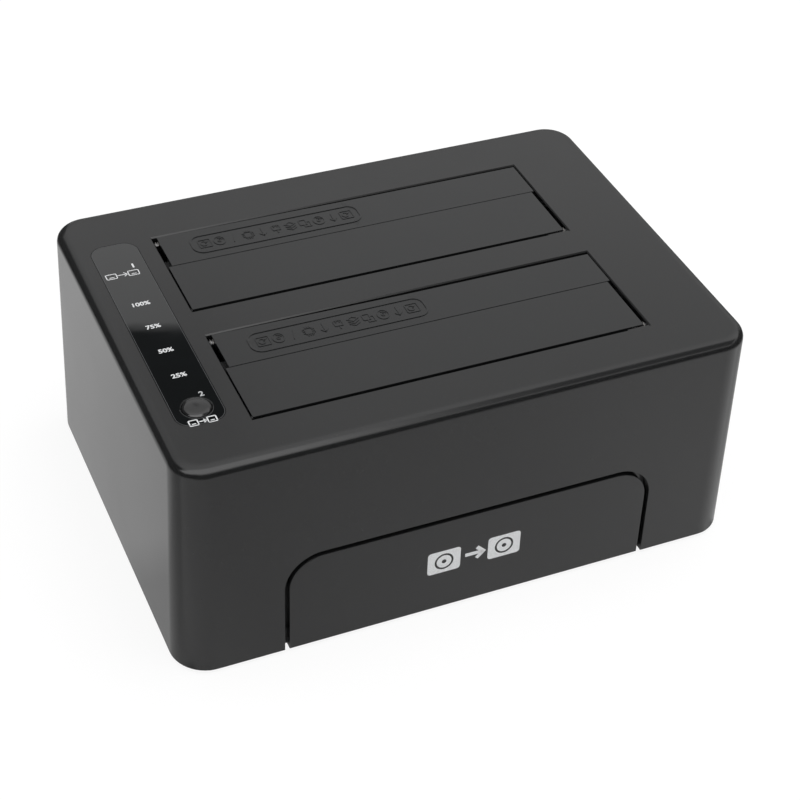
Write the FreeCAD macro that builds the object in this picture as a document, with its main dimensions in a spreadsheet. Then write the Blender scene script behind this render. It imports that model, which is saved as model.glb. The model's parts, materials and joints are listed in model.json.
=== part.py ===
import FreeCAD, Part
import math
import os
import Sketcher
from types import SimpleNamespace

# Drive duplicator: a two-bay dock. Millimetres, +Z up, the operator's side faces -Y, and the
# floor that the rubber feet stand on is z = 0 under the middle of the case.

Vector = FreeCAD.Vector

SIZES = {
    # case
    "case_length": 153.6,
    "case_depth": 111.3,
    "shell_height": 63.55,
    "draft_angle": 1.45,
    "corner_round": 9.7,
    "top_round": 2.9,
    "wall": 2.0,
    "top_wall": 2.0,
    "ground_clearance": 1.0,
    # drive bays
    "bay_left_margin": 24.3,
    "bay_rear_margin": 18.2,
    "bay_pitch": 44.15,
    "bay_length": 104.7,
    "bay_depth": 33.9,
    "bay_chamfer": 0.3,
    "ledge_length": 6.0,
    "ledge_reach": 0.4,
    "ledge_drop": 0.3,
    "well_wall": 1.2,
    "well_end_wall": 2.0,
    "well_end_room": 1.3,
    "well_floor": 1.5,
    "well_tab_drop": 5.0,
    "well_tab_thickness": 2.0,
    "well_tab_width": 7.0,
    "well_tab_reach": 4.6,
    "well_tab_row": 2.4,
    "well_tab_offset": 30.0,
    "well_tab_stagger": 10.0,
    # flaps and their hinges
    "flap_thickness": 1.6,
    "narrow_flap_depth": 13.45,
    "split_gap": 0.25,
    "narrow_edge_gap": 0.25,
    "wide_edge_gap": 0.75,
    "narrow_left_gap": 1.25,
    "narrow_right_gap": 0.5,
    "wide_left_gap": 0.25,
    "wide_right_gap": 1.3,
    "hinge_inset": 1.35,
    "hinge_drop": 1.65,
    "pin_diameter": 1.4,
    "barrel_diameter": 2.6,
    "running_fit": 0.05,
    "seat_fit": 0.02,
    "ear_thickness": 1.1,
    "ear_width": 4.0,
    "ear_inset": 1.0,
    "ear_root": 2.5,
    "ear_reach": 1.0,
    "ear_gap": 0.1,
    "flap_rib_height": 0.9,
    "flap_rib_width": 1.0,
    "flap_rib_count": 5,
    "spring_room": 3.0,
    "spring_wire": 0.26,
    "spring_turns": 5,
    "spring_facets": 6,
    "spring_outside": 2.2,
    "spring_leg": 6.0,
    "spring_touch": 0.02,
    "frame_length": 47.0,
    "frame_depth": 8.0,
    "frame_offset_x": -20.35,
    "frame_inset": 2.85,
    "frame_line": 0.5,
    "frame_corner": 3.0,
    "frame_height": 0.3,
    # base tray
    "base_wall": 2.0,
    "base_fit": 0.25,
    "lip_inset": 0.2,
    "lip_height": 3.0,
    "lip_thickness": 1.2,
    "apron_left_margin": 28.0,
    "apron_right_margin": 28.0,
    "apron_height": 28.7,
    "apron_gap": 1.2,
    "apron_corner": 8.8,
    "apron_flange": 1.5,
    "post_inset": 9.8,
    "post_diameter": 8.0,
    "post_height": 14.0,
    "boss_diameter": 6.5,
    "small_boss": 4.6,
    "screw_facets": 6,
    "thread_depth": 0.2,
    "pilot_fit": 0.05,
    "screw_clearance": 0.3,
    "case_screw": 3.0,
    "case_screw_head": 5.4,
    "case_screw_head_height": 2.0,
    "case_screw_grip": 3.0,
    "case_screw_bite": 8.0,
    "foot_length": 10.0,
    "foot_width": 8.0,
    "foot_fit": 0.1,
    "foot_recess": 1.0,
    "vent_length": 22.0,
    "vent_width": 2.0,
    "vent_pitch": 6.0,
    "vent_count": 9,
    "vent_row_y": 14.0,
    # boards
    "standoff_height": 4.0,
    "standoff_diameter": 5.0,
    "board_side_gap": 17.6,
    "board_rear_gap": 4.7,
    "board_front_gap": 21.7,
    "board_thickness": 1.6,
    "board_screw_side": 2.5,
    "board_screw_end": 4.0,
    "board_screw_bite": 3.5,
    "small_screw": 2.2,
    "small_screw_head": 4.0,
    "small_screw_head_height": 1.3,
    "small_screw_bite": 4.5,
    "light_board_shift": 1.3,
    "light_board_end_gap": 3.75,
    "light_board_width": 9.6,
    "light_board_thickness": 1.0,
    "light_board_drop": 5.9,
    "light_board_screw_end": 2.7,
    "light_length": 3.0,
    "light_width": 2.0,
    "light_height": 5.2,
    "light_window_margin": 0.3,
    "source_light_inset": 13.7,
    "target_light_inset": 12.3,
    "gauge_start": 11.1,
    "gauge_pitch": 10.05,
    "gauge_count": 4,
    # board parts
    "chip_side": 12.0,
    "chip_height": 1.2,
    "chip_gap": 5.25,
    "chip_shift": 2.3,
    "memory_length": 5.0,
    "memory_width": 4.0,
    "memory_height": 1.5,
    "memory_gap": 7.5,
    "crystal_length": 5.0,
    "crystal_width": 3.2,
    "crystal_height": 1.2,
    "crystal_gap": 2.1,
    "supply_inset": 4.5,
    "supply_pitch": 8.6,
    "coil_side": 7.0,
    "coil_height": 4.0,
    "capacitor_diameter": 6.3,
    "capacitor_height": 7.7,
    "header_length": 10.0,
    "header_width": 2.6,
    "light_header_height": 4.2,
    "main_header_height": 5.0,
    "main_header_inset": 1.7,
    "lead_y": 9.0,
    "lead_shift": 2.0,
    "lead_thickness": 0.9,
    "lead_width": 7.0,
    "lead_straight": 4.0,
    "lead_bend": 8.0,
    # label and button
    "label_left_margin": 7.2,
    "label_y": -0.2,
    "label_length": 76.1,
    "label_width": 12.5,
    "label_corner": 4.0,
    "label_thickness": 0.8,
    "label_fit": 0.1,
    "button_inset": 6.1,
    "button_diameter": 7.1,
    "button_flange": 8.7,
    "button_flange_thickness": 1.2,
    "button_rise": 0.8,
    "button_fit": 0.15,
    "button_gap": 0.1,
    "tact_size": 6.0,
    "tact_height": 3.5,
    "tact_base": 1.0,
    "tact_plunger": 3.4,
    "plunger_seat": 2.0,
    # drive sockets
    "socket_length": 42.7,
    "socket_width": 5.2,
    "socket_height": 8.5,
    "socket_offset_x": -9.6,
    "socket_offset_y": 9.8,
    "socket_reach": 5.0,
    "socket_fit": 0.4,
    "slot_width": 1.7,
    "slot_depth": 5.6,
    "data_slot": 10.6,
    "power_slot": 20.8,
    "slot_bridge": 4.6,
    "key_width": 1.3,
    "key_depth": 2.9,
    "contact_pitch": 1.27,
    "contact_width": 0.7,
    "contact_thickness": 0.3,
    "contact_inset": 0.6,
    "contact_recess": 0.8,
    "data_contacts": 7,
    "power_contacts": 15,
    # rear ports
    "usb_left_margin": 34.8,
    "usb_width": 12.1,
    "usb_height": 12.6,
    "usb_depth": 16.3,
    "usb_setback": 0.5,
    "usb_mouth_width": 8.5,
    "usb_mouth_low": 1.1,
    "usb_mouth_height": 7.3,
    "usb_mouth_slant": 1.4,
    "usb_mouth_depth": 9.5,
    "usb_upper_width": 5.8,
    "usb_upper_height": 3.1,
    "usb_tongue_width": 5.6,
    "usb_tongue_height": 3.1,
    "usb_tongue_rise": 2.0,
    "usb_tongue_gap": 0.6,
    "usb_tongue_setback": 1.0,
    "usb_shelf_setback": 1.5,
    "usb_bridge": 1.0,
    "port_fit": 0.3,
    "jack_right_margin": 54.8,
    "jack_width": 9.0,
    "jack_height": 11.0,
    "jack_depth": 11.8,
    "jack_axis_rise": 6.0,
    "jack_nose": 8.0,
    "jack_bore": 6.3,
    "jack_bore_depth": 9.5,
    "jack_setback": 0.8,
    "jack_pin": 2.0,
    "jack_pin_setback": 0.6,
    "switch_right_margin": 31.3,
    "switch_length": 15.0,
    "switch_height": 10.6,
    "switch_rise": 5.4,
    "switch_bezel": 1.0,
    "switch_body_length": 13.0,
    "switch_body_height": 8.6,
    "switch_body_depth": 11.0,
    "switch_recess": 2.5,
    "switch_corner": 1.0,
    "switch_panel_margin": 0.6,
    "switch_leg_width": 0.8,
    "switch_leg_depth": 1.2,
    "switch_leg_spread": 4.5,
    "switch_leg_near": 4.0,
    "switch_leg_far": 9.5,
    "rocker_length": 10.2,
    "rocker_width": 6.4,
    "rocker_tilt": 8.0,
    "rocker_clearance": 0.35,
    "rocker_room": 4.5,
    "rocker_horn": 0.7,
    "rocker_keel": 2.4,
    "rocker_shoulder": 0.4,
    "rocker_nose": 1.0,
    "rocker_waist": 0.1,
    "pivot_diameter": 1.5,
    "pivot_depth": 0.6,
    "pivot_length": 0.6,
    "pivot_play": 0.1,
}
CUT_PAST = 1  # how far a cutting tool runs past the face that it opens
FLAT_CORNER = 2 - math.sqrt(2)  # a corner cut at 45 degrees that touches a round of radius 1
TINY = 1e-4  # lengths closer than this are taken as equal
CROWN_STEPS = 3  # cones in the button's crown
SHARPEST_MITRE = 0.5  # the least cosine that a mitred wire section is stretched by


class Size:
    """A length with the sheet expression that it stands for."""

    def __init__(self, value, text):
        self.value = float(value)
        self.text = text

    def __add__(self, other):
        other = sized(other)
        return Size(self.value + other.value, f"({self.text} + {other.text})")

    def __sub__(self, other):
        other = sized(other)
        return Size(self.value - other.value, f"({self.text} - {other.text})")

    def __mul__(self, other):
        other = sized(other)
        return Size(self.value * other.value, f"({self.text} * {other.text})")

    def __truediv__(self, other):
        other = sized(other)
        return Size(self.value / other.value, f"({self.text} / {other.text})")

    def __radd__(self, other):
        return sized(other) + self

    def __rsub__(self, other):
        return sized(other) - self

    def __rmul__(self, other):
        return sized(other) * self

    def __neg__(self):
        return Size(-self.value, f"(-{self.text})")


def sized(amount):
    """A bare number or a Size, as a Size."""
    if isinstance(amount, Size):
        return amount
    return Size(amount, f"({amount})")


def tangent(angle):
    """The tangent of an angle in degrees."""
    return Size(math.tan(math.radians(angle.value)), f"tan({angle.text} * 1 deg)")


document = FreeCAD.newDocument("drive_duplicator")
sheet = document.addObject("Spreadsheet::Sheet", "Sizes")
for row, (name, value) in enumerate(SIZES.items(), start=1):
    sheet.set(f"A{row}", name)
    sheet.set(f"B{row}", str(value))
    sheet.setAlias(f"B{row}", name)
document.recompute()
dim = SimpleNamespace(**{name: Size(value, f"Sizes.{name}") for name, value in SIZES.items()})
parts = []


def bind(thing, prop, amount):
    """Set a property and keep it bound to the sheet."""
    amount = sized(amount)
    setattr(thing, prop, amount.value)
    thing.setExpression(prop, amount.text)


def place(thing, x=0, y=0, z=0, turn=None):
    """Put an object at a point that stays bound to the sheet."""
    spot = [sized(x), sized(y), sized(z)]
    base = Vector(*(amount.value for amount in spot))
    thing.Placement = FreeCAD.Placement(base, turn or FreeCAD.Rotation())
    for axis, amount in zip("xyz", spot):
        thing.setExpression(f"Placement.Base.{axis}", amount.text)


def new_body(label, x=0, y=0, z=0, turn=None):
    """Start a sub-part as a PartDesign body."""
    body = document.addObject("PartDesign::Body", label)
    body.Label = label
    place(body, x, y, z, turn)
    parts.append(body)
    return body


def keep(thing, label):
    """Name a finished object as a sub-part."""
    thing.Label = label
    parts.append(thing)
    return thing


def sketch(body, name, plane, offset=0):
    """A sketch on one of the body's origin planes, moved along the plane's normal."""
    support = next(item for item in body.Origin.OriginFeatures if item.Role == plane + "_Plane")
    drawing = body.newObject("Sketcher::SketchObject", f"{body.Name}_{name}")
    drawing.AttachmentSupport = (support, [""])
    drawing.MapMode = "FlatFace"
    offset = sized(offset)
    drawing.AttachmentOffset = FreeCAD.Placement(Vector(0, 0, offset.value), FreeCAD.Rotation())
    drawing.setExpression("AttachmentOffset.Base.z", offset.text)
    return drawing


def dimension(drawing, kind, *where_and_amount):
    """Add a dimension to a sketch and bind it to the sheet."""
    *where, amount = where_and_amount
    amount = sized(amount)
    number = drawing.addConstraint(Sketcher.Constraint(kind, *where, amount.value))
    label = f"size_{number}"
    drawing.renameConstraint(number, label)
    drawing.setExpression(f"Constraints.{label}", amount.text)


def pin_point(drawing, geometry, end, x, y):
    """Fix a point of a sketch by its distances from the sketch's origin."""
    dimension(drawing, "DistanceX", -1, 1, geometry, end, x)
    dimension(drawing, "DistanceY", -1, 1, geometry, end, y)


def polygon(drawing, points):
    """A closed outline of straight lines."""
    points = [(sized(x), sized(y)) for x, y in points]
    spots = [Vector(x.value, y.value, 0) for x, y in points]
    lines = [drawing.addGeometry(Part.LineSegment(a, b), False)
             for a, b in zip(spots, spots[1:] + spots[:1])]
    for line, following in zip(lines, lines[1:] + lines[:1]):
        drawing.addConstraint(Sketcher.Constraint("Coincident", line, 2, following, 1))
    for line, (x, y) in zip(lines, points):
        pin_point(drawing, line, 1, x, y)


def rectangle(drawing, left, right, low, high):
    """A rectangle between four bound sides."""
    polygon(drawing, [(left, low), (right, low), (right, high), (left, high)])


def flat_cornered(drawing, left, right, low, high, corner):
    """A rectangle whose corners are cut off just outside rounds of the given radius."""
    cut = corner * FLAT_CORNER
    polygon(drawing, [(left + cut, low), (right - cut, low), (right, low + cut), (right, high - cut),
                      (right - cut, high), (left + cut, high), (left, high - cut), (left, low + cut)])


def rounded_rectangle(drawing, left, right, low, high, corner):
    """A rectangle whose four corners are arcs of one radius."""
    left, right, low, high, corner = map(sized, (left, right, low, high, corner))
    centres = [(right - corner, low + corner), (right - corner, high - corner),
               (left + corner, high - corner), (left + corner, low + corner)]
    arcs = []
    for number, (x, y) in enumerate(centres):
        ring = Part.Circle(Vector(x.value, y.value, 0), Vector(0, 0, 1), corner.value)
        start = (number - 1) * math.pi / 2
        arcs.append(drawing.addGeometry(Part.ArcOfCircle(ring, start, start + math.pi / 2), False))
    ends = [(drawing.getPoint(arc, 2), drawing.getPoint(following, 1))
            for arc, following in zip(arcs, arcs[1:] + arcs[:1])]
    lines = [drawing.addGeometry(Part.LineSegment(a, b), False) for a, b in ends]
    for arc, line, following in zip(arcs, lines, arcs[1:] + arcs[:1]):
        drawing.addConstraint(Sketcher.Constraint("Tangent", arc, 2, line, 1))
        drawing.addConstraint(Sketcher.Constraint("Tangent", line, 2, following, 1))
    for line, direction in zip(lines, ("Vertical", "Horizontal", "Vertical", "Horizontal")):
        drawing.addConstraint(Sketcher.Constraint(direction, line))
    for arc in arcs[1:]:
        drawing.addConstraint(Sketcher.Constraint("Equal", arcs[0], arc))
    dimension(drawing, "Radius", arcs[0], corner)
    dimension(drawing, "DistanceX", -1, 1, lines[0], 1, right)
    dimension(drawing, "DistanceY", -1, 1, lines[1], 1, high)
    dimension(drawing, "DistanceX", -1, 1, lines[2], 1, left)
    dimension(drawing, "DistanceY", -1, 1, lines[3], 1, low)


def arch(drawing, left, right, low, high, corner):
    """An upright panel outline: square at the foot, with two rounded upper corners."""
    left, right, low, high, corner = map(sized, (left, right, low, high, corner))
    turn_y = high - corner
    arcs = []
    for x, start in ((right - corner, 0), (left + corner, math.pi / 2)):
        ring = Part.Circle(Vector(x.value, turn_y.value, 0), Vector(0, 0, 1), corner.value)
        arcs.append(drawing.addGeometry(Part.ArcOfCircle(ring, start, start + math.pi / 2), False))
    foot = [Vector(left.value, low.value, 0), Vector(right.value, low.value, 0)]
    runs = [(foot[0], foot[1]), (foot[1], drawing.getPoint(arcs[0], 1)),
            (drawing.getPoint(arcs[0], 2), drawing.getPoint(arcs[1], 1)),
            (drawing.getPoint(arcs[1], 2), foot[0])]
    sill, right_side, top, left_side = [
        drawing.addGeometry(Part.LineSegment(a, b), False) for a, b in runs]
    for first, second in ((right_side, arcs[0]), (arcs[0], top), (top, arcs[1]), (arcs[1], left_side)):
        drawing.addConstraint(Sketcher.Constraint("Tangent", first, 2, second, 1))
    for first, second in ((sill, right_side), (left_side, sill)):
        drawing.addConstraint(Sketcher.Constraint("Coincident", first, 2, second, 1))
    for line, direction in ((right_side, "Vertical"), (left_side, "Vertical"), (top, "Horizontal")):
        drawing.addConstraint(Sketcher.Constraint(direction, line))
    drawing.addConstraint(Sketcher.Constraint("Equal", arcs[0], arcs[1]))
    dimension(drawing, "Radius", arcs[0], corner)
    pin_point(drawing, sill, 1, left, low)
    pin_point(drawing, sill, 2, right, low)
    dimension(drawing, "DistanceY", -1, 1, top, 1, high)


def circle(drawing, x, y, diameter):
    """A circle with a bound centre and diameter."""
    x, y, diameter = map(sized, (x, y, diameter))
    ring = Part.Circle(Vector(x.value, y.value, 0), Vector(0, 0, 1), diameter.value / 2)
    number = drawing.addGeometry(ring, False)
    pin_point(drawing, number, 3, x, y)
    dimension(drawing, "Diameter", number, diameter)


def many_sided(drawing, x, y, diameter):
    """A regular outline inside a circle, for what is too small to need a true round."""
    x, y, diameter = map(sized, (x, y, diameter))
    sides = int(dim.screw_facets.value)
    middle = Vector(x.value, y.value, 0)
    spots = [middle + Vector(math.cos(2 * math.pi * side / sides), math.sin(2 * math.pi * side / sides), 0)
             * (diameter.value / 2) for side in range(sides)]
    ring = drawing.addGeometry(Part.Circle(middle, Vector(0, 0, 1), diameter.value / 2), True)
    lines = [drawing.addGeometry(Part.LineSegment(a, b), False)
             for a, b in zip(spots, spots[1:] + spots[:1])]
    rules = [Sketcher.Constraint("Equal", lines[0], line) for line in lines[1:]]
    for line, following in zip(lines, lines[1:] + lines[:1]):
        rules.append(Sketcher.Constraint("Coincident", line, 2, following, 1))
        rules.append(Sketcher.Constraint("PointOnObject", line, 1, ring))
    drawing.addConstraint(rules)
    pin_point(drawing, ring, 3, x, y)
    dimension(drawing, "Diameter", ring, diameter)
    drawing.addConstraint(Sketcher.Constraint("Horizontal", ring, 3, lines[0], 1))


def prism(name, x, y, z, diameter, height):
    """An upright bar with the same many-sided outline."""
    bar = document.addObject("Part::Prism", name)
    bar.Polygon = int(dim.screw_facets.value)
    bind(bar, "Circumradius", sized(diameter) / 2)
    bind(bar, "Height", height)
    place(bar, x, y, z)
    return bar


def feature(body, kind, drawing, length, backwards=False, taper=None):
    """A pad or pocket whose length is bound to the sheet."""
    form = body.newObject(f"PartDesign::{kind}", f"{drawing.Name}_{kind.lower()}")
    form.Profile = drawing
    bind(form, "Length", length)
    form.Reversed = backwards
    if taper is not None:
        bind(form, "TaperAngle", taper)
    document.recompute()
    return form


def pad(body, drawing, length, backwards=False, taper=None):
    """Add material along the sketch's normal."""
    return feature(body, "Pad", drawing, length, backwards, taper)


def pocket(body, drawing, length, backwards=False, taper=None):
    """Cut material against the sketch's normal."""
    before = body.Shape.Volume
    form = feature(body, "Pocket", drawing, length, backwards, taper)
    if form.Shape.Volume > before - TINY:
        raise RuntimeError(f"{form.Name} cuts nothing")
    return form


def edges_where(shape, chosen):
    """The names of the edges that a test picks."""
    return [f"Edge{number}" for number, edge in enumerate(shape.Edges, start=1) if chosen(edge)]


def lies_at_height(edge, height):
    """True for an edge that lies flat at one height."""
    return all(abs(corner.Z - height) < TINY for corner in edge.Vertexes)


def box(name, x, y, z, length, width, height):
    """A block given by its lowest corner and its three sides."""
    block = document.addObject("Part::Box", name)
    bind(block, "Length", length)
    bind(block, "Width", width)
    bind(block, "Height", height)
    place(block, x, y, z)
    return block


def centred_box(name, x, y, z, length, width, height):
    """A block given by the middle of its underside."""
    return box(name, x - sized(length) / 2, y - sized(width) / 2, z, length, width, height)


TURNS = {
    "x": FreeCAD.Rotation(Vector(0, 1, 0), 90),
    "y": FreeCAD.Rotation(Vector(1, 0, 0), -90),
    "z": FreeCAD.Rotation(),
}


def cylinder(name, x, y, z, diameter, height, along="z"):
    """A round bar that starts at a point and runs along an axis."""
    bar = document.addObject("Part::Cylinder", name)
    bind(bar, "Radius", sized(diameter) / 2)
    bind(bar, "Height", height)
    place(bar, x, y, z, TURNS[along])
    return bar


def fused(name, pieces):
    """Several solids joined into one."""
    union = document.addObject("Part::MultiFuse", name)
    union.Shapes = pieces
    return union


def carved(name, base, tools):
    """A solid with others cut from it."""
    result = document.addObject("Part::Cut", name)
    result.Base = base
    result.Tool = tools[0] if len(tools) == 1 else fused(name + "_tools", tools)
    return result


def group(label, pieces):
    """Separate solids that share one node."""
    bundle = document.addObject("Part::Compound", label)
    bundle.Links = pieces
    return keep(bundle, label)


# Places that several sub-parts share.
half_length = dim.case_length / 2
half_depth = dim.case_depth / 2
case_top = dim.ground_clearance + dim.shell_height
cover_under = case_top - dim.top_wall
lean = tangent(dim.draft_angle)
base_top = dim.ground_clearance + dim.base_wall
bay_x = dim.bay_left_margin + dim.bay_length / 2 - half_length
rear_bay_y = half_depth - dim.bay_rear_margin - dim.bay_depth / 2
bays = {"rear": rear_bay_y, "front": rear_bay_y - dim.bay_pitch}
board_bottom = base_top + dim.standoff_height
board_top = board_bottom + dim.board_thickness
board_half = half_length - dim.board_side_gap
board_rear = half_depth - dim.board_rear_gap
board_front = dim.board_front_gap - half_depth
socket_top = board_top + dim.socket_height
floor_top = socket_top - dim.socket_reach
floor_bottom = floor_top - dim.well_floor
hinge_height = case_top - dim.hinge_drop
well_half_length = dim.bay_length / 2 + dim.well_end_room
well_half_depth = dim.bay_depth / 2 + dim.well_wall
tab_top = cover_under - dim.well_tab_drop
post_top = base_top + dim.post_height
post_x = half_length - dim.post_inset
post_y = half_depth - dim.post_inset
corners = [(post_x * side, post_y * end) for side in (-1, 1) for end in (-1, 1)]
screw_seat = post_top - dim.case_screw_grip
small_core = dim.small_screw - 2 * dim.thread_depth
small_pilot = small_core + 2 * dim.pilot_fit
small_hole = dim.small_screw + dim.screw_clearance
case_core = dim.case_screw - 2 * dim.thread_depth
case_pilot = case_core + 2 * dim.pilot_fit
label_x = dim.label_left_margin + dim.label_width / 2 - half_length
label_front = dim.label_y - dim.label_length / 2
label_rear = dim.label_y + dim.label_length / 2
button_y = label_front + dim.button_inset
button_hole = dim.button_diameter + 2 * dim.button_fit
light_board_x = label_x - dim.light_board_shift
light_board_half = post_y - dim.light_board_end_gap
light_board_top = cover_under - dim.light_board_drop
light_board_bottom = light_board_top - dim.light_board_thickness
light_board_screws = [(light_board_half - dim.light_board_screw_end) * end for end in (-1, 1)]
lights = [label_rear - dim.source_light_inset, label_front + dim.target_light_inset] + [
    dim.label_y + dim.gauge_start - dim.gauge_pitch * number
    for number in range(int(dim.gauge_count.value))]
usb_x = dim.usb_left_margin - half_length
usb_front = half_depth - dim.usb_setback
jack_x = half_length - dim.jack_right_margin
jack_front = half_depth - dim.wall - dim.port_fit - lean * board_top - lean * dim.jack_height
jack_axis = board_top + dim.jack_axis_rise
switch_x = half_length - dim.switch_right_margin
switch_axis = board_top + dim.switch_rise
switch_panel = half_depth - dim.switch_recess


def tab_places(bay):
    """The screw places of a well, from the bay's centre: two towards the other bay, two outside."""
    inward = -1 if bay == "rear" else 1
    shift = dim.well_tab_stagger * inward
    row = well_half_depth + dim.well_tab_row
    return [(side * dim.well_tab_offset + shift, end * row) for end in (inward, -inward)
            for side in (-1, 1)]


def make_top_cover():
    """The drafted upper shell, with both bay mouths, the label recess, the arch and the ports."""
    body = new_body("top_cover", z=dim.ground_clearance)
    inner_top = dim.shell_height - dim.top_wall

    outline = sketch(body, "outline", "XY")
    rounded_rectangle(outline, -half_length, half_length, -half_depth, half_depth, dim.corner_round)
    block = pad(body, outline, dim.shell_height, taper=-dim.draft_angle)

    rim = body.newObject("PartDesign::Fillet", "top_cover_rim")
    rim.Base = (block, edges_where(block.Shape, lambda e: lies_at_height(e, dim.shell_height.value)))
    bind(rim, "Radius", dim.top_round)
    document.recompute()

    cavity = sketch(body, "cavity", "XY")
    flat_cornered(cavity, dim.wall - half_length, half_length - dim.wall,
                  dim.wall - half_depth, half_depth - dim.wall, dim.corner_round - dim.wall)
    pocket(body, cavity, inner_top, backwards=True, taper=-dim.draft_angle)

    cut_mouths(body)
    cut_label_recess(body)
    opening = sketch(body, "apron_arch", "XZ", half_depth + CUT_PAST)
    arch(opening, dim.apron_left_margin - half_length - dim.apron_gap,
         half_length - dim.apron_right_margin + dim.apron_gap, -CUT_PAST,
         dim.apron_height + dim.apron_gap, dim.apron_corner + dim.apron_gap)
    pocket(body, opening, 2 * dim.wall + CUT_PAST)
    cut_rear_ports(body)
    cut_pin_grooves(body, inner_top)
    add_cover_bosses(body, inner_top)


def cut_mouths(body):
    """The two bay mouths, their bevelled rims and the small ledge in each mouth's front wall."""
    left = bay_x - dim.bay_length / 2
    right = bay_x + dim.bay_length / 2
    for bay, bay_y in bays.items():
        mouth = sketch(body, bay + "_mouth", "XY", dim.shell_height)
        rectangle(mouth, left, right, bay_y - dim.bay_depth / 2, bay_y + dim.bay_depth / 2)
        cut = pocket(body, mouth, dim.top_wall)

    def borders_a_mouth(edge):
        inside = all(left.value - TINY <= corner.X <= right.value + TINY for corner in edge.Vertexes)
        return inside and lies_at_height(edge, dim.shell_height.value)

    bevel = body.newObject("PartDesign::Chamfer", "top_cover_mouth_bevel")
    bevel.Base = (cut, edges_where(cut.Shape, borders_a_mouth))
    bind(bevel, "Size", dim.bay_chamfer)
    document.recompute()
    ledges = sketch(body, "mouth_ledges", "XY", dim.shell_height - dim.ledge_drop)
    for bay_y in bays.values():
        front = bay_y - dim.bay_depth / 2
        rectangle(ledges, right - dim.ledge_length, right, front, front + dim.ledge_reach)
    pad(body, ledges, dim.top_wall - dim.ledge_drop, backwards=True)


def cut_label_recess(body):
    """The shallow seat of the label, with a window for each status light and the button's hole."""
    recess = sketch(body, "label_recess", "XY", dim.shell_height)
    rounded_rectangle(recess, label_x - dim.label_width / 2, label_x + dim.label_width / 2,
                      label_front, label_rear, dim.label_corner)
    pocket(body, recess, dim.label_thickness)
    windows = sketch(body, "light_windows", "XY", dim.shell_height)
    half_window = dim.light_length / 2 - dim.light_window_margin
    half_slit = dim.light_width / 2 - dim.light_window_margin
    for light_y in lights:
        rectangle(windows, label_x - half_window, label_x + half_window,
                  light_y - half_slit, light_y + half_slit)
    circle(windows, label_x, button_y, button_hole)
    pocket(body, windows, 2 * dim.top_wall)


def cut_rear_ports(body):
    """The sunk switch panel and the three openings in the rear wall."""
    panel_half = dim.switch_length / 2 + dim.switch_panel_margin
    panel_rise = dim.switch_height / 2 + dim.switch_panel_margin
    axis_height = switch_axis - dim.ground_clearance
    backing = sketch(body, "switch_backing", "XZ", dim.wall - switch_panel)
    rectangle(backing, switch_x - panel_half - dim.wall, switch_x + panel_half + dim.wall,
              axis_height - panel_rise - dim.wall / 2, axis_height + panel_rise + dim.wall)
    pad(body, backing, dim.wall + dim.switch_recess / 2, backwards=True)
    sink = sketch(body, "switch_sink", "XZ", -half_depth - CUT_PAST)
    rounded_rectangle(sink, switch_x - panel_half, switch_x + panel_half,
                      axis_height - panel_rise, axis_height + panel_rise, dim.switch_corner)
    pocket(body, sink, dim.switch_recess + CUT_PAST, backwards=True)

    ports = sketch(body, "port_holes", "XZ", -half_depth - CUT_PAST)
    usb_half = dim.usb_width / 2 + dim.port_fit
    usb_low = board_top - dim.ground_clearance - dim.port_fit
    rectangle(ports, usb_x - usb_half, usb_x + usb_half, usb_low,
              usb_low + dim.usb_height + 2 * dim.port_fit)
    circle(ports, jack_x, jack_axis - dim.ground_clearance, dim.jack_nose + 2 * dim.button_fit)
    can_half = dim.switch_body_length / 2 + dim.button_fit
    can_rise = dim.switch_body_height / 2 + dim.button_fit
    rectangle(ports, switch_x - can_half, switch_x + can_half,
              axis_height - can_rise, axis_height + can_rise)
    pocket(body, ports, 2 * dim.wall + dim.switch_recess, backwards=True)


def cut_pin_grooves(body, inner_top):
    """The grooves under the cover that close the wells' notches over the hinge pins."""
    grooves = sketch(body, "pin_grooves", "XY", inner_top)
    groove_half = dim.pin_diameter / 2 + dim.seat_fit
    groove_end = well_half_length + dim.well_end_wall
    for bay_y in bays.values():
        for row_y in hinge_rows().values():
            for side in (-1, 1):
                near, far = span(side * (dim.bay_length / 2 - CUT_PAST), side * groove_end)
                rectangle(grooves, bay_x + near, bay_x + far,
                          bay_y + row_y - groove_half, bay_y + row_y + groove_half)
    pocket(body, grooves, hinge_height + groove_half - cover_under, backwards=True)


def add_cover_bosses(body, inner_top):
    """The bosses under the cover: for the case screws, the wells and the light board."""
    columns = sketch(body, "screw_columns", "XY", inner_top)
    for x, y in corners:
        many_sided(columns, x, y, dim.boss_diameter)
        many_sided(columns, x, y, case_pilot)
    pad(body, columns, cover_under - post_top, backwards=True)
    for bay, bay_y in bays.items():
        bosses = sketch(body, bay + "_well_bosses", "XY", inner_top)
        for x, y in tab_places(bay):
            many_sided(bosses, bay_x + x, bay_y + y, dim.small_boss)
            many_sided(bosses, bay_x + x, bay_y + y, small_pilot)
        pad(body, bosses, dim.well_tab_drop, backwards=True)
    pegs = sketch(body, "light_board_bosses", "XY", inner_top)
    for y in light_board_screws:
        many_sided(pegs, light_board_x, y, dim.small_boss)
        many_sided(pegs, light_board_x, y, small_pilot)
    pad(body, pegs, dim.light_board_drop, backwards=True)


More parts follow.
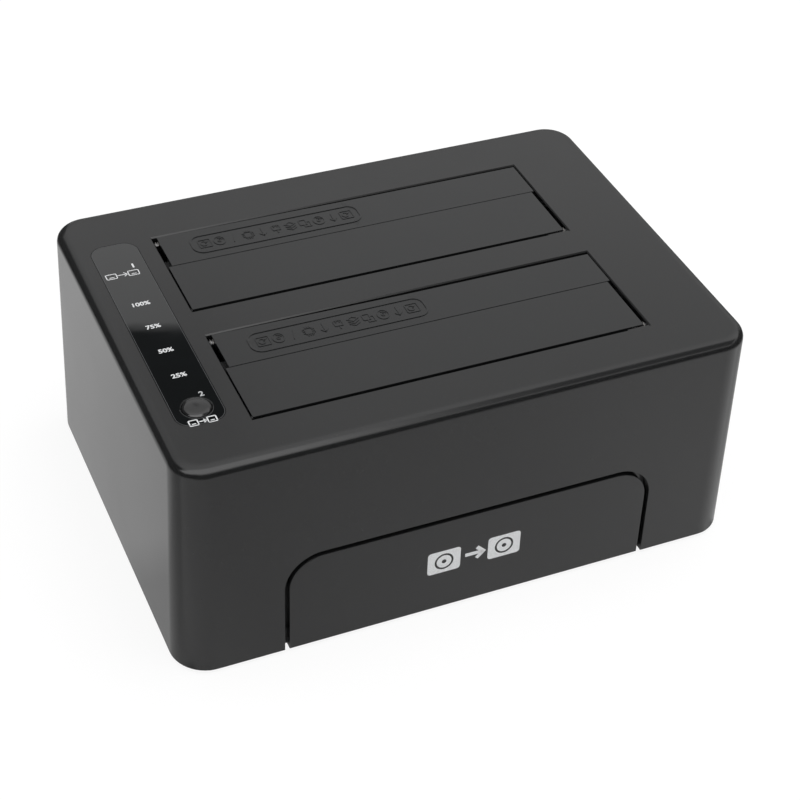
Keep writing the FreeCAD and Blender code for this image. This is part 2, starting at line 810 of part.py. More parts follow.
def make_base_tray():
    """The floor of the case: plate, locating lip, screw posts, standoffs and the front apron."""
    body = new_body("base_tray", z=dim.ground_clearance)
    inset = dim.wall + dim.base_fit

    plate = sketch(body, "plate", "XY")
    flat_cornered(plate, inset - half_length, half_length - inset, inset - half_depth,
                  half_depth - inset, dim.corner_round - inset)
    pad(body, plate, dim.base_wall, taper=-dim.draft_angle)

    lip = sketch(body, "lip", "XY", dim.base_wall)
    lip_edge = inset + dim.lip_inset
    for edge in (lip_edge, lip_edge + dim.lip_thickness):
        flat_cornered(lip, edge - half_length, half_length - edge, edge - half_depth,
                      half_depth - edge, dim.corner_round - edge)
    pad(body, lip, dim.lip_height, taper=-dim.draft_angle)

    add_apron(body)

    posts = sketch(body, "posts", "XY", dim.base_wall)
    for x, y in corners:
        many_sided(posts, x, y, dim.post_diameter)
    pad(body, posts, dim.post_height)
    standoffs = sketch(body, "standoffs", "XY", dim.base_wall)
    for x, y in board_screw_places():
        many_sided(standoffs, x, y, dim.standoff_diameter)
        many_sided(standoffs, x, y, small_pilot)
    pad(body, standoffs, dim.standoff_height)

    holes = sketch(body, "screw_holes", "XY")
    for x, y in corners:
        many_sided(holes, x, y, dim.case_screw + dim.screw_clearance)
    pocket(body, holes, dim.base_wall + dim.post_height, backwards=True)
    wells = sketch(body, "counterbores", "XY")
    for x, y in corners:
        many_sided(wells, x, y, dim.case_screw_head + 2 * dim.screw_clearance)
    pocket(body, wells, screw_seat - dim.ground_clearance, backwards=True)
    foot_seats = sketch(body, "foot_seats", "XY")
    foot_half_length = dim.foot_length / 2 + dim.foot_fit
    foot_half_width = dim.foot_width / 2 + dim.foot_fit
    for x, y in corners:
        rectangle(foot_seats, x - foot_half_length, x + foot_half_length,
                  y - foot_half_width, y + foot_half_width)
    pocket(body, foot_seats, dim.foot_recess, backwards=True)

    vents = sketch(body, "vents", "XY")
    half_row = dim.vent_pitch * (dim.vent_count - 1) / 2
    for row_y in (-dim.vent_row_y, dim.vent_row_y):
        rectangle(vents, -half_row - dim.vent_width / 2, -half_row + dim.vent_width / 2,
                  row_y - dim.vent_length / 2, row_y + dim.vent_length / 2)
    first = pocket(body, vents, dim.base_wall, backwards=True)
    row = body.newObject("PartDesign::LinearPattern", "base_tray_vent_rows")
    row.Originals = [first]
    row.Direction = (vents, ["H_Axis"])
    bind(row, "Length", 2 * half_row)
    row.Occurrences = int(dim.vent_count.value)
    body.Tip = row
    document.recompute()


def add_apron(body):
    """The front panel of the tray, which fills the cover's arch, and the flange behind it."""
    left = dim.apron_left_margin - half_length
    right = half_length - dim.apron_right_margin
    wide = dim.apron_gap + dim.apron_flange
    flange_back = (half_depth - dim.wall - dim.base_fit - dim.apron_flange
                   - lean * (dim.apron_height + wide))
    flange = sketch(body, "apron_flange", "XZ", flange_back)
    arch(flange, left - wide, right + wide, 0, dim.apron_height + wide, dim.apron_corner + wide)
    pad(body, flange, dim.apron_flange)
    panel = sketch(body, "apron", "XZ", flange_back)
    arch(panel, left, right, 0, dim.apron_height, dim.apron_corner)
    pad(body, panel, half_depth - flange_back)
    slope = sketch(body, "apron_slope", "YZ", left - CUT_PAST)
    reach = dim.apron_height + dim.apron_corner
    ahead = -half_depth - CUT_PAST
    polygon(slope, [(ahead, 0), (-half_depth, 0), (lean * reach - half_depth, reach), (ahead, reach)])
    pocket(body, slope, right - left + 2 * CUT_PAST, backwards=True)


def board_screw_places():
    """The main board's four screw places."""
    ends = (board_front + dim.board_screw_end, board_rear - dim.board_screw_end)
    return [(side * (board_half - dim.board_screw_side), y) for side in (-1, 1) for y in ends]


def screw(name, x, y, seat, diameter, head, head_height, length):
    """A pan-head screw driven upwards: its head hangs below the seat and its shank goes up."""
    knob = prism(name + "_head", x, y, seat - head_height, head, head_height)
    shank = prism(name + "_shank", x, y, seat, diameter, length)
    return fused(name, [knob, shank])


def make_fasteners():
    """The screws of the case, the wells and both boards, and the rubber feet."""
    group("case_screws", [
        screw(f"case_screw_{number}", x, y, screw_seat, case_core, dim.case_screw_head,
              dim.case_screw_head_height, dim.case_screw_grip + dim.case_screw_bite)
        for number, (x, y) in enumerate(corners)])
    group("rubber_feet", [
        centred_box(f"foot_{number}", x, y, 0, dim.foot_length, dim.foot_width,
                    dim.ground_clearance + dim.foot_recess)
        for number, (x, y) in enumerate(corners)])
    places = [(bay_y, spot) for bay, bay_y in bays.items() for spot in tab_places(bay)]
    group("well_screws", [
        screw(f"well_screw_{number}", bay_x + x, bay_y + y, tab_top - dim.well_tab_thickness,
              small_core, dim.small_screw_head, dim.small_screw_head_height,
              dim.well_tab_thickness + dim.small_screw_bite)
        for number, (bay_y, (x, y)) in enumerate(places)])
    group("light_board_screws", [
        screw(f"light_board_screw_{number}", light_board_x, y, light_board_bottom, small_core,
              dim.small_screw_head, dim.small_screw_head_height,
              dim.light_board_thickness + dim.small_screw_bite)
        for number, y in enumerate(light_board_screws)])
    group("board_screws", [
        fused(f"board_screw_{number}", [
            prism(f"board_screw_head_{number}", x, y, board_top, dim.small_screw_head,
                  dim.small_screw_head_height),
            prism(f"board_screw_shank_{number}", x, y, board_bottom - dim.board_screw_bite,
                  small_core, dim.board_thickness + dim.board_screw_bite)])
        for number, (x, y) in enumerate(board_screw_places())])


def make_well(bay, bay_y):
    """The open box below a bay's mouth: it carries the hinge pins and surrounds the socket."""
    body = new_body(bay + "_bay_well", bay_x, bay_y)
    outer_half = well_half_length + dim.well_end_wall
    outline = sketch(body, "outline", "XY", floor_bottom)
    rectangle(outline, -outer_half, outer_half, -well_half_depth, well_half_depth)
    pad(body, outline, cover_under - floor_bottom)

    tabs = sketch(body, "tabs", "XY", tab_top)
    for x, y in tab_places(bay):
        side = 1 if y.value > 0 else -1
        near = side * (well_half_depth - dim.well_wall / 2)
        far = side * (well_half_depth + dim.well_tab_reach)
        low, high = (near, far) if side > 0 else (far, near)
        rectangle(tabs, x - dim.well_tab_width / 2, x + dim.well_tab_width / 2, low, high)
        many_sided(tabs, x, y, small_hole)
    pad(body, tabs, dim.well_tab_thickness, backwards=True)

    room = sketch(body, "room", "XY", cover_under)
    rectangle(room, -well_half_length, well_half_length, -dim.bay_depth / 2, dim.bay_depth / 2)
    pocket(body, room, cover_under - floor_top)

    window = sketch(body, "socket_window", "XY", floor_top)
    half_socket = dim.socket_length / 2 + dim.socket_fit
    half_width = dim.socket_width / 2 + dim.socket_fit
    rectangle(window, dim.socket_offset_x - half_socket, dim.socket_offset_x + half_socket,
              dim.socket_offset_y - half_width, dim.socket_offset_y + half_width)
    pocket(body, window, dim.well_floor)

    pin_holes = sketch(body, "pin_holes", "YZ", -outer_half - CUT_PAST)
    for pin_y in hinge_rows().values():
        circle(pin_holes, pin_y, hinge_height, dim.pin_diameter + 2 * dim.seat_fit)
    pocket(body, pin_holes, 2 * (outer_half + CUT_PAST), backwards=True)

    if bay == "rear":
        relief = sketch(body, "port_relief", "XZ", -well_half_depth - CUT_PAST)
        half_port = dim.usb_width / 2 + 2 * dim.port_fit
        rectangle(relief, usb_x - bay_x - half_port, usb_x - bay_x + half_port,
                  floor_bottom - CUT_PAST, board_top + dim.usb_height + 2 * dim.port_fit)
        pocket(body, relief, dim.well_wall + CUT_PAST, backwards=True)


def hinge_rows():
    """The hinge lines of a bay's two flaps, from the bay's centre."""
    return {
        "narrow": dim.bay_depth / 2 - dim.narrow_edge_gap - dim.hinge_inset,
        "wide": dim.wide_edge_gap + dim.hinge_inset - dim.bay_depth / 2,
    }


def flap_sizes(kind):
    """A flap's depth, the gaps at its left and right ends, and the side that its tip points to."""
    if kind == "narrow":
        return dim.narrow_flap_depth, dim.narrow_left_gap, dim.narrow_right_gap, -1
    wide_depth = (dim.bay_depth - dim.narrow_edge_gap - dim.narrow_flap_depth - dim.split_gap
                  - dim.wide_edge_gap)
    return wide_depth, dim.wide_left_gap, dim.wide_right_gap, 1


def span(first, second):
    """Two sketch coordinates in rising order."""
    first, second = sized(first), sized(second)
    return (first, second) if first.value < second.value else (second, first)


def make_flap(bay, bay_y, kind):
    """A sprung flap about its hinge line: plate, barrel, ribs and the ears that stop it."""
    depth, left_gap, right_gap, side = flap_sizes(kind)
    body = new_body(f"{bay}_{kind}_flap", bay_x, bay_y + hinge_rows()[kind], hinge_height)
    left = left_gap - dim.bay_length / 2
    right = dim.bay_length / 2 - right_gap
    length = right - left
    tip = side * (depth - dim.hinge_inset)
    heel = -side * dim.hinge_inset
    top = dim.hinge_drop
    under = top - dim.flap_thickness

    plate = sketch(body, "plate", "YZ", left)
    rectangle(plate, *span(heel, tip), under, top)
    pad(body, plate, length)
    barrel_start = left + dim.spring_room if kind == "narrow" else left
    barrel = sketch(body, "barrel", "YZ", barrel_start)
    circle(barrel, 0, 0, dim.barrel_diameter)
    pad(body, barrel, length - dim.spring_room)

    ribs = sketch(body, "ribs", "XY", under)
    rib_start = left + dim.spring_room + dim.flap_rib_width
    rib_step = (length - 2 * dim.spring_room - 3 * dim.flap_rib_width) / (dim.flap_rib_count - 1)
    for number in range(int(dim.flap_rib_count.value)):
        rib_x = rib_start + rib_step * number
        rectangle(ribs, rib_x, rib_x + dim.flap_rib_width,
                  *span(side * dim.pin_diameter, tip - side * dim.flap_rib_width))
    pad(body, ribs, dim.flap_rib_height, backwards=True)

    ear_top = top - dim.top_wall - dim.ear_gap
    ear_low = ear_top - dim.ear_thickness
    tongue_rows = span(tip - side * (dim.ear_width + dim.ear_inset), tip - side * dim.ear_inset)
    for name, edge, gap, way in (("left", left, left_gap, -1), ("right", right, right_gap, 1)):
        root = sketch(body, name + "_ear_root", "XY", under)
        rectangle(root, *span(edge, edge - way * dim.ear_root), *tongue_rows)
        pad(body, root, under - ear_low, backwards=True)
        tongue = sketch(body, name + "_ear", "XY", ear_top)
        rectangle(tongue, *span(edge - way * dim.ear_root, edge + way * (gap + dim.ear_reach)),
                  *tongue_rows)
        pad(body, tongue, dim.ear_thickness, backwards=True)

    spring_x = left if kind == "narrow" else right - dim.spring_room
    nest = sketch(body, "spring_nest", "YZ", spring_x)
    nest_reach = dim.spring_outside / 2 + dim.ear_gap
    rectangle(nest, *span(heel - side * CUT_PAST, side * nest_reach), under - CUT_PAST, nest_reach)
    pocket(body, nest, dim.spring_room, backwards=True)
    bore = sketch(body, "bore", "YZ", left - CUT_PAST)
    circle(bore, 0, 0, dim.pin_diameter + 2 * dim.running_fit)
    pocket(body, bore, length + 2 * CUT_PAST, backwards=True)

    if kind == "narrow":
        frame = sketch(body, "raised_frame", "XY", top)
        centre_y = heel - dim.frame_inset - dim.frame_depth / 2
        for inset in (sized(0), dim.frame_line):
            rounded_rectangle(frame, dim.frame_offset_x - dim.frame_length / 2 + inset,
                              dim.frame_offset_x + dim.frame_length / 2 - inset,
                              centre_y - dim.frame_depth / 2 + inset,
                              centre_y + dim.frame_depth / 2 - inset, dim.frame_corner - inset)
        pad(body, frame, dim.frame_height)


def make_hinge_pin(bay, bay_y, kind):
    """The steel pin that a flap turns on, held in the well's end walls."""
    outer_half = well_half_length + dim.well_end_wall
    pin = cylinder(f"{bay}_{kind}_hinge_pin", bay_x - outer_half, bay_y + hinge_rows()[kind],
                   hinge_height, dim.pin_diameter, 2 * outer_half, "x")
    keep(pin, f"{bay}_{kind}_hinge_pin")


def make_spring(bay, bay_y, kind):
    """The torsion spring round a hinge pin: one leg under the flap, the other down the bay's wall."""
    depth, left_gap, right_gap, side = flap_sizes(kind)
    wire = dim.spring_wire.value
    radius = (dim.spring_outside.value - wire) / 2
    mouth_end = (dim.bay_length / 2).value
    margin = dim.ear_gap.value + wire / 2
    if kind == "narrow":
        fixed_x = margin - mouth_end
        free_x = (left_gap + dim.spring_room).value - mouth_end - margin
        wall_gap = (dim.hinge_inset + dim.narrow_edge_gap).value
    else:
        fixed_x = mouth_end - margin
        free_x = mouth_end - (right_gap + dim.spring_room).value + margin
        wall_gap = (dim.hinge_inset + dim.wide_edge_gap).value
    leg = dim.spring_leg.value
    touch = dim.spring_touch.value + wire / 2
    plate_under = (dim.hinge_drop - dim.flap_thickness).value - touch
    wall_y = -side * (wall_gap - touch)
    facets = int(dim.spring_facets.value)
    steps = int(dim.spring_turns.value) * facets
    line = [Vector(free_x, side * leg, plate_under)]
    for step in range(steps + 1):
        angle = 2 * math.pi * step / facets
        line.append(Vector(free_x + (fixed_x - free_x) * step / steps,
                           -side * radius * math.sin(angle), -radius * math.cos(angle)))
    line += [Vector(fixed_x, wall_y, -radius - wire), Vector(fixed_x, wall_y, -leg)]
    spring = document.addObject("Part::Feature", f"{bay}_{kind}_spring")
    spring.Shape = square_wire(line, wire)
    place(spring, bay_x, bay_y + hinge_rows()[kind], hinge_height)
    keep(spring, f"{bay}_{kind}_spring")


def square_wire(line, width):
    """A wire of square section along a line of points, mitred at each of them."""
    across = Vector(1, 0, 0)
    ways = [(end - start).normalize() for start, end in zip(line, line[1:])]
    sections = []
    for point, before, after in zip(line, ways[:1] + ways, ways + ways[-1:]):
        outward = (before + after).cross(across).normalize()
        stretch = 1 / max(math.cos(before.getAngle(after) / 2), SHARPEST_MITRE)
        sections.append(Part.makePolygon([
            point + across * (width / 2 * a) + outward * (width / 2 * b * stretch)
            for a, b in ((-1, -1), (1, -1), (1, 1), (-1, 1), (-1, -1))]))
    return Part.makeLoft(sections, True, True)


def slot_outline(drawing, left, length, key_at_left):
    """One L-shaped slot of a drive socket."""
    right = left + length
    near = -dim.slot_width / 2
    far = dim.slot_width / 2
    deep = near - (dim.key_depth - dim.slot_width)
    if key_at_left:
        polygon(drawing, [(left, deep), (left + dim.key_width, deep), (left + dim.key_width, near),
                          (right, near), (right, far), (left, far)])
    else:
        polygon(drawing, [(left, near), (right - dim.key_width, near), (right - dim.key_width, deep),
                          (right, deep), (right, far), (left, far)])


def make_socket(bay, bay_y):
    """An upright drive socket and its two rows of spring contacts."""
    x = bay_x + dim.socket_offset_x
    y = bay_y + dim.socket_offset_y
    body = new_body(bay + "_drive_socket", x, y, board_top)
    half = dim.socket_length / 2
    outline = sketch(body, "outline", "XY")
    rectangle(outline, -half, half, -dim.socket_width / 2, dim.socket_width / 2)
    pad(body, outline, dim.socket_height)
    slots = sketch(body, "slots", "XY", dim.socket_height)
    both = dim.data_slot + dim.slot_bridge + dim.power_slot
    data_left = -both / 2
    power_left = data_left + dim.data_slot + dim.slot_bridge
    slot_outline(slots, data_left, dim.data_slot, True)
    slot_outline(slots, power_left, dim.power_slot, False)
    pocket(body, slots, dim.slot_depth)

    strips = []
    rows = (("data", data_left + dim.key_width + dim.contact_inset, dim.data_contacts),
            ("power", power_left + dim.contact_inset, dim.power_contacts))
    for name, first, count in rows:
        for number in range(int(count.value)):
            strips.append(box(
                f"{bay}_{name}_contact_{number}", x + first + dim.contact_pitch * number,
                y + dim.slot_width / 2 - dim.contact_thickness, socket_top - dim.slot_depth,
                dim.contact_width, dim.contact_thickness, dim.slot_depth - dim.contact_recess))
    group(bay + "_socket_contacts", strips)


def make_main_board():
    """The main circuit board and what is soldered on it."""
    body = new_body("main_board", z=board_bottom)
    outline = sketch(body, "outline", "XY")
    rectangle(outline, -board_half, board_half, board_front, board_rear)
    for x, y in board_screw_places():
        many_sided(outline, x, y, small_hole)
    pad(body, outline, dim.board_thickness)

    chip_x = bay_x + dim.socket_offset_x + dim.socket_length / 2 + dim.chip_gap + dim.chip_side / 2
    chip_y = bays["front"] + dim.socket_offset_y + dim.chip_shift
    keep(centred_box("bridge_chip", chip_x, chip_y, board_top, dim.chip_side, dim.chip_side,
                     dim.chip_height), "bridge_chip")
    memory_x = chip_x + (dim.chip_side + dim.memory_length) / 2 + dim.memory_gap
    keep(centred_box("memory_chip", memory_x, chip_y, board_top, dim.memory_length,
                     dim.memory_width, dim.memory_height), "memory_chip")
    crystal_y = chip_y + (dim.chip_side + dim.crystal_width) / 2 + dim.crystal_gap
    keep(centred_box("clock_crystal", chip_x, crystal_y, board_top, dim.crystal_length,
                     dim.crystal_width, dim.crystal_height), "clock_crystal")

    supply_y = board_rear - dim.supply_inset
    supply_x = (usb_x + jack_x) / 2
    group("power_coils", [
        centred_box(f"coil_{number}", supply_x + side * dim.supply_pitch / 2, supply_y, board_top,
                    dim.coil_side, dim.coil_side, dim.coil_height)
        for number, side in enumerate((-1, 1))])
    group("smoothing_capacitors", [
        cylinder(f"capacitor_{number}", supply_x + side * dim.supply_pitch * 3 / 2, supply_y,
                 board_top, dim.capacitor_diameter, dim.capacitor_height)
        for number, side in enumerate((-1, 1))])


def make_light_board():
    """The slim board under the label: status lights, press switch and the lead to the main board."""
    body = new_body("light_board", light_board_x, 0, light_board_bottom)
    outline = sketch(body, "outline", "XY")
    rectangle(outline, -dim.light_board_width / 2, dim.light_board_width / 2,
              -light_board_half, light_board_half)
    for y in light_board_screws:
        many_sided(outline, 0, y, small_hole)
    pad(body, outline, dim.light_board_thickness)

    group("status_lights", [
        centred_box(f"light_{number}", label_x, y, light_board_top, dim.light_length,
                    dim.light_width, dim.light_height)
        for number, y in enumerate(lights)])
    tact = centred_box("press_switch_body", label_x, button_y, light_board_top,
                       dim.tact_size, dim.tact_size, dim.tact_height)
    well = prism("press_switch_bore", label_x, button_y, light_board_top + dim.tact_base,
                 dim.tact_plunger + 2 * dim.button_fit, dim.tact_height)
    keep(carved("press_switch", tact, [well]), "press_switch")
    flange_low = cover_under - dim.button_gap - dim.button_flange_thickness
    plunger_low = light_board_top + dim.plunger_seat
    keep(prism("press_switch_plunger", label_x, button_y, plunger_low, dim.tact_plunger,
               flange_low - plunger_low), "press_switch_plunger")

    upper_x = light_board_x + dim.lead_shift
    upper_z = light_board_bottom - dim.light_header_height
    keep(centred_box("light_board_header", upper_x, dim.lead_y, upper_z, dim.header_width,
                     dim.header_length, dim.light_header_height), "light_board_header")
    lower_x = dim.main_header_inset - board_half
    keep(centred_box("main_board_header", lower_x, dim.lead_y, board_top, dim.header_width,
                     dim.header_length, dim.main_header_height), "main_board_header")
    make_ribbon(Vector(upper_x.value, dim.lead_y.value, upper_z.value),
                Vector(lower_x.value, dim.lead_y.value, (board_top + dim.main_header_height).value))


def make_ribbon(upper, lower):
    """The flat lead between the two boards: two straight ends joined by an easy double bend."""
    straight = Vector(0, 0, dim.lead_straight.value)
    bend = Vector(0, 0, dim.lead_bend.value)
    spline = Part.BSplineCurve()
    poles = [upper - straight, upper - straight - bend, lower + straight + bend, lower + straight]
    spline.buildFromPoles(poles, False, 3)
    path = Part.Wire([Part.LineSegment(upper, poles[0]).toShape(), spline.toShape(),
                      Part.LineSegment(poles[-1], lower).toShape()])
    half = Vector(dim.lead_thickness.value / 2, dim.lead_width.value / 2, 0)
    section = Part.makePolygon([upper + Vector(half.x * a, half.y * b, 0)
                                for a, b in ((-1, -1), (1, -1), (1, 1), (-1, 1), (-1, -1))])
    ribbon = document.addObject("Part::Feature", "ribbon_lead")
    ribbon.Shape = path.makePipeShell([section], True, False)
    place(ribbon)
    keep(ribbon, "ribbon_lead")


def make_label_and_button():
    """The glossy strip beside the bays and the domed button that shows through it."""
    body = new_body("label_panel", z=case_top - dim.label_thickness)
    outline = sketch(body, "outline", "XY")
    inset = dim.label_fit
    rounded_rectangle(outline, label_x - dim.label_width / 2 + inset,
                      label_x + dim.label_width / 2 - inset, label_front + inset,
                      label_rear - inset, dim.label_corner - inset)
    circle(outline, label_x, button_y, button_hole)
    pad(body, outline, dim.label_thickness)

    button = new_body("clone_button", label_x, button_y, case_top)
    radius = dim.button_diameter / 2
    flange_top = -dim.top_wall - dim.button_gap
    profile = sketch(button, "profile", "XZ")
    dome_outline(profile, radius, dim.button_rise, flange_top)
    turned = button.newObject("PartDesign::Revolution", "clone_button_turned")
    turned.Profile = profile
    turned.ReferenceAxis = (profile, ["V_Axis"])
    turned.Angle = 360
    document.recompute()
    flange = sketch(button, "flange", "XY", flange_top)
    reach = dim.button_flange / 2
    rectangle(flange, -reach, reach, -reach, reach)
    pad(button, flange, dim.button_flange_thickness, backwards=True)


def dome_outline(drawing, radius, rise, low):
    """Half of a domed cap's section: straight side, and a crown that rises in narrow cones."""
    crown = []
    for step in range(CROWN_STEPS + 1):
        share = 1 - step / CROWN_STEPS
        crown.append((radius * share, rise * (1 - share ** 2)))
    polygon(drawing, [(0, low), (radius, low)] + crown)


def make_usb_port():
    """The upright rear data port: metal shell with its stepped mouth, and the plastic tongues."""
    body = new_body("usb_port_shell", usb_x, usb_front, board_top)
    half = dim.usb_width / 2
    outline = sketch(body, "outline", "XZ")
    rectangle(outline, -half, half, 0, dim.usb_height)
    pad(body, outline, dim.usb_depth)
    mouth = sketch(body, "mouth", "XZ")
    lower, upper = dim.usb_mouth_width / 2, dim.usb_upper_width / 2
    shoulder = dim.usb_mouth_low + dim.usb_mouth_height
    ceiling = shoulder + dim.usb_upper_height
    slant = dim.usb_mouth_slant
    polygon(mouth, [(-lower, dim.usb_mouth_low), (lower, dim.usb_mouth_low),
                    (lower, shoulder - slant), (lower - slant, shoulder), (upper, shoulder),
                    (upper, ceiling), (-upper, ceiling), (-upper, shoulder),
                    (slant - lower, shoulder), (-lower, shoulder - slant)])
    pocket(body, mouth, dim.usb_mouth_depth, backwards=True)

    tongue = new_body("usb_port_tongues", usb_x, usb_front, board_top)
    lower_half = dim.usb_tongue_width / 2
    upper_half = upper - dim.usb_tongue_gap
    low = dim.usb_mouth_low + dim.usb_tongue_rise
    bridge = sketch(tongue, "bridge", "XZ", dim.usb_mouth_depth)
    rectangle(bridge, -upper_half, upper_half, low, ceiling - dim.usb_tongue_gap)
    pad(tongue, bridge, dim.usb_bridge, backwards=True)
    block = sketch(tongue, "lower_tongue", "XZ", dim.usb_mouth_depth)
    rectangle(block, -lower_half, lower_half, low, low + dim.usb_tongue_height)
    pad(tongue, block, dim.usb_mouth_depth - dim.usb_tongue_setback, backwards=True)
    shelf = sketch(tongue, "upper_tongue", "XZ", dim.usb_mouth_depth)
    rectangle(shelf, -upper_half, upper_half, ceiling - dim.usb_upper_height / 2,
              ceiling - dim.usb_tongue_gap)
    pad(tongue, shelf, dim.usb_mouth_depth - dim.usb_shelf_setback, backwards=True)


def make_power_jack():
    """The round power inlet: block, nose through the case wall, and its centre pin."""
    body = new_body("power_jack", jack_x, jack_front, board_top)
    height = jack_axis - board_top
    nose_length = half_depth - dim.jack_setback - jack_front
    outline = sketch(body, "outline", "XZ")
    rectangle(outline, -dim.jack_width / 2, dim.jack_width / 2, 0, dim.jack_height)
    pad(body, outline, dim.jack_depth)
    nose = sketch(body, "nose", "XZ")
    circle(nose, 0, height, dim.jack_nose)
    pad(body, nose, nose_length, backwards=True)
    bore = sketch(body, "bore", "XZ", -nose_length)
    circle(bore, 0, height, dim.jack_bore)
    pocket(body, bore, dim.jack_bore_depth, backwards=True)
    pin_start = jack_front + nose_length - dim.jack_bore_depth
    keep(cylinder("power_jack_pin", jack_x, pin_start, jack_axis, dim.jack_pin,
                  dim.jack_bore_depth - dim.jack_pin_setback, "y"), "power_jack_pin")


def make_power_switch():
    """The rocker switch in its sunk panel: bezel and can, three legs and the rocker."""
    body = new_body("power_switch_body", switch_x, switch_panel, switch_axis)
    half_can = dim.switch_body_height / 2
    bezel = sketch(body, "bezel", "XZ", -dim.switch_bezel)
    rounded_rectangle(bezel, -dim.switch_length / 2, dim.switch_length / 2,
                      -dim.switch_height / 2, dim.switch_height / 2, dim.switch_corner)
    pad(body, bezel, dim.switch_bezel)
    can = sketch(body, "can", "XZ")
    rectangle(can, -dim.switch_body_length / 2, dim.switch_body_length / 2, -half_can, half_can)
    pad(body, can, dim.switch_body_depth)
    mouth = sketch(body, "mouth", "XZ", -dim.switch_bezel)
    half_mouth = dim.rocker_length / 2 + dim.rocker_clearance
    half_slot = dim.rocker_width / 2 + dim.button_fit
    rectangle(mouth, -half_mouth, half_mouth, -half_slot, half_slot)
    pocket(body, mouth, dim.switch_bezel + dim.rocker_room, backwards=True)
    pivots = sketch(body, "pivots", "XY", -half_slot - dim.pivot_length)
    circle(pivots, 0, -dim.pivot_depth, dim.pivot_diameter + 2 * dim.running_fit)
    pocket(body, pivots, 2 * (half_slot + dim.pivot_length), backwards=True)

    leg_height = switch_axis - half_can - board_top
    legs = ((-dim.switch_leg_spread, dim.switch_leg_near), (sized(0), dim.switch_leg_far),
            (dim.switch_leg_spread, dim.switch_leg_near))
    group("power_switch_legs", [
        box(f"switch_leg_{number}", switch_x + offset - dim.switch_leg_width / 2,
            switch_panel - depth, board_top, dim.switch_leg_width, dim.switch_leg_depth, leg_height)
        for number, (offset, depth) in enumerate(legs)])

    rocker = new_body("power_switch_rocker", switch_x, switch_panel - dim.pivot_depth, switch_axis,
                      FreeCAD.Rotation(Vector(0, 0, 1), -dim.rocker_tilt.value))
    half = dim.rocker_length / 2
    face = dim.switch_bezel + dim.pivot_depth
    outline = sketch(rocker, "outline", "XY", -dim.rocker_width / 2)
    polygon(outline, [(-half, face + dim.rocker_horn), (0, face + dim.rocker_waist),
                      (half, face + dim.rocker_horn), (half, dim.rocker_shoulder),
                      (dim.rocker_nose, -dim.rocker_keel), (-dim.rocker_nose, -dim.rocker_keel),
                      (-half, dim.rocker_shoulder)])
    pad(rocker, outline, dim.rocker_width)
    axle_half = half_slot + dim.pivot_length - dim.pivot_play
    axle = sketch(rocker, "axle", "XY", -axle_half)
    circle(axle, 0, 0, dim.pivot_diameter)
    pad(rocker, axle, 2 * axle_half)


make_top_cover()
make_base_tray()
for bay_name, bay_middle in bays.items():
    make_well(bay_name, bay_middle)
    for flap_kind in ("narrow", "wide"):
        make_flap(bay_name, bay_middle, flap_kind)
        make_hinge_pin(bay_name, bay_middle, flap_kind)
        make_spring(bay_name, bay_middle, flap_kind)
    make_socket(bay_name, bay_middle)
make_main_board()
make_light_board()
make_label_and_button()
make_usb_port()
make_power_jack()
make_power_switch()
make_fasteners()
document.recompute()

for item in document.Objects:
    if "Invalid" in item.State or "Error" in item.State:
        raise RuntimeError(f"{item.Label}: {item.State}")
for part in parts:
    if part.Shape.isNull() or not part.Shape.isValid():
        raise RuntimeError(f"{part.Label} has no sound shape")

os.makedirs("parts", exist_ok=True)
for part in parts:
    part.Shape.exportStep(f"parts/{part.Label}.step")
    print(f"{part.Label}: {len(part.Shape.Solids)} solid(s), {part.Shape.Volume:.1f} mm3")
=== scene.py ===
import bpy
import bmesh
import json
import math
from mathutils import Matrix, Vector

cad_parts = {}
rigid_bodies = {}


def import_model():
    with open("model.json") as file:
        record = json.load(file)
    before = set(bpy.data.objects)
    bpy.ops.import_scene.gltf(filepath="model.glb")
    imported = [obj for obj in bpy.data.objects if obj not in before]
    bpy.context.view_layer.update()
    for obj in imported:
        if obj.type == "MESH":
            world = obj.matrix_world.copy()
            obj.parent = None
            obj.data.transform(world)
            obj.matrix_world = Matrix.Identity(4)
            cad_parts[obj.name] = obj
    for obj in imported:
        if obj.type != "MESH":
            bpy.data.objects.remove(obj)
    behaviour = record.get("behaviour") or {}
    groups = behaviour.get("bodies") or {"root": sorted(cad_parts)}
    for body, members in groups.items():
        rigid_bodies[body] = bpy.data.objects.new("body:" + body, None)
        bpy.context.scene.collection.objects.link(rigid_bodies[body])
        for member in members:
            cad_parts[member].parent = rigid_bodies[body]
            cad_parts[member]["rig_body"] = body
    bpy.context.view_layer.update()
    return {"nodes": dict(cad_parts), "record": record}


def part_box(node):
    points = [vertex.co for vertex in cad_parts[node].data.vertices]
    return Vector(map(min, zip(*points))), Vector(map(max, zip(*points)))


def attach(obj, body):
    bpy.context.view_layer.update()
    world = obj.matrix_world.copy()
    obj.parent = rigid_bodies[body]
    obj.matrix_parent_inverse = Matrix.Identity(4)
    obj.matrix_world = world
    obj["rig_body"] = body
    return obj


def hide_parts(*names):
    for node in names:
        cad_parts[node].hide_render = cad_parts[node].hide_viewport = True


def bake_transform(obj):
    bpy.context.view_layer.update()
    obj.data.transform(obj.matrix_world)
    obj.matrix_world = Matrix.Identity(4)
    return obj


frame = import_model()
scene = bpy.context.scene
nodes = frame["nodes"]
mm = 0.001  # the script's numbers are millimetres; Blender's are metres

# a long lens above the left end of the front
cameraView = {
    "place": (-163.139, -357.188, 346.997),
    "right": (0.918798, -0.392686, 0.040103),
    "down": (-0.221378, -0.596742, -0.771291),
    "forward": (0.326806, 0.699783, -0.635217),
    "lens": 85.096,
    "sensor": 36.0,
}


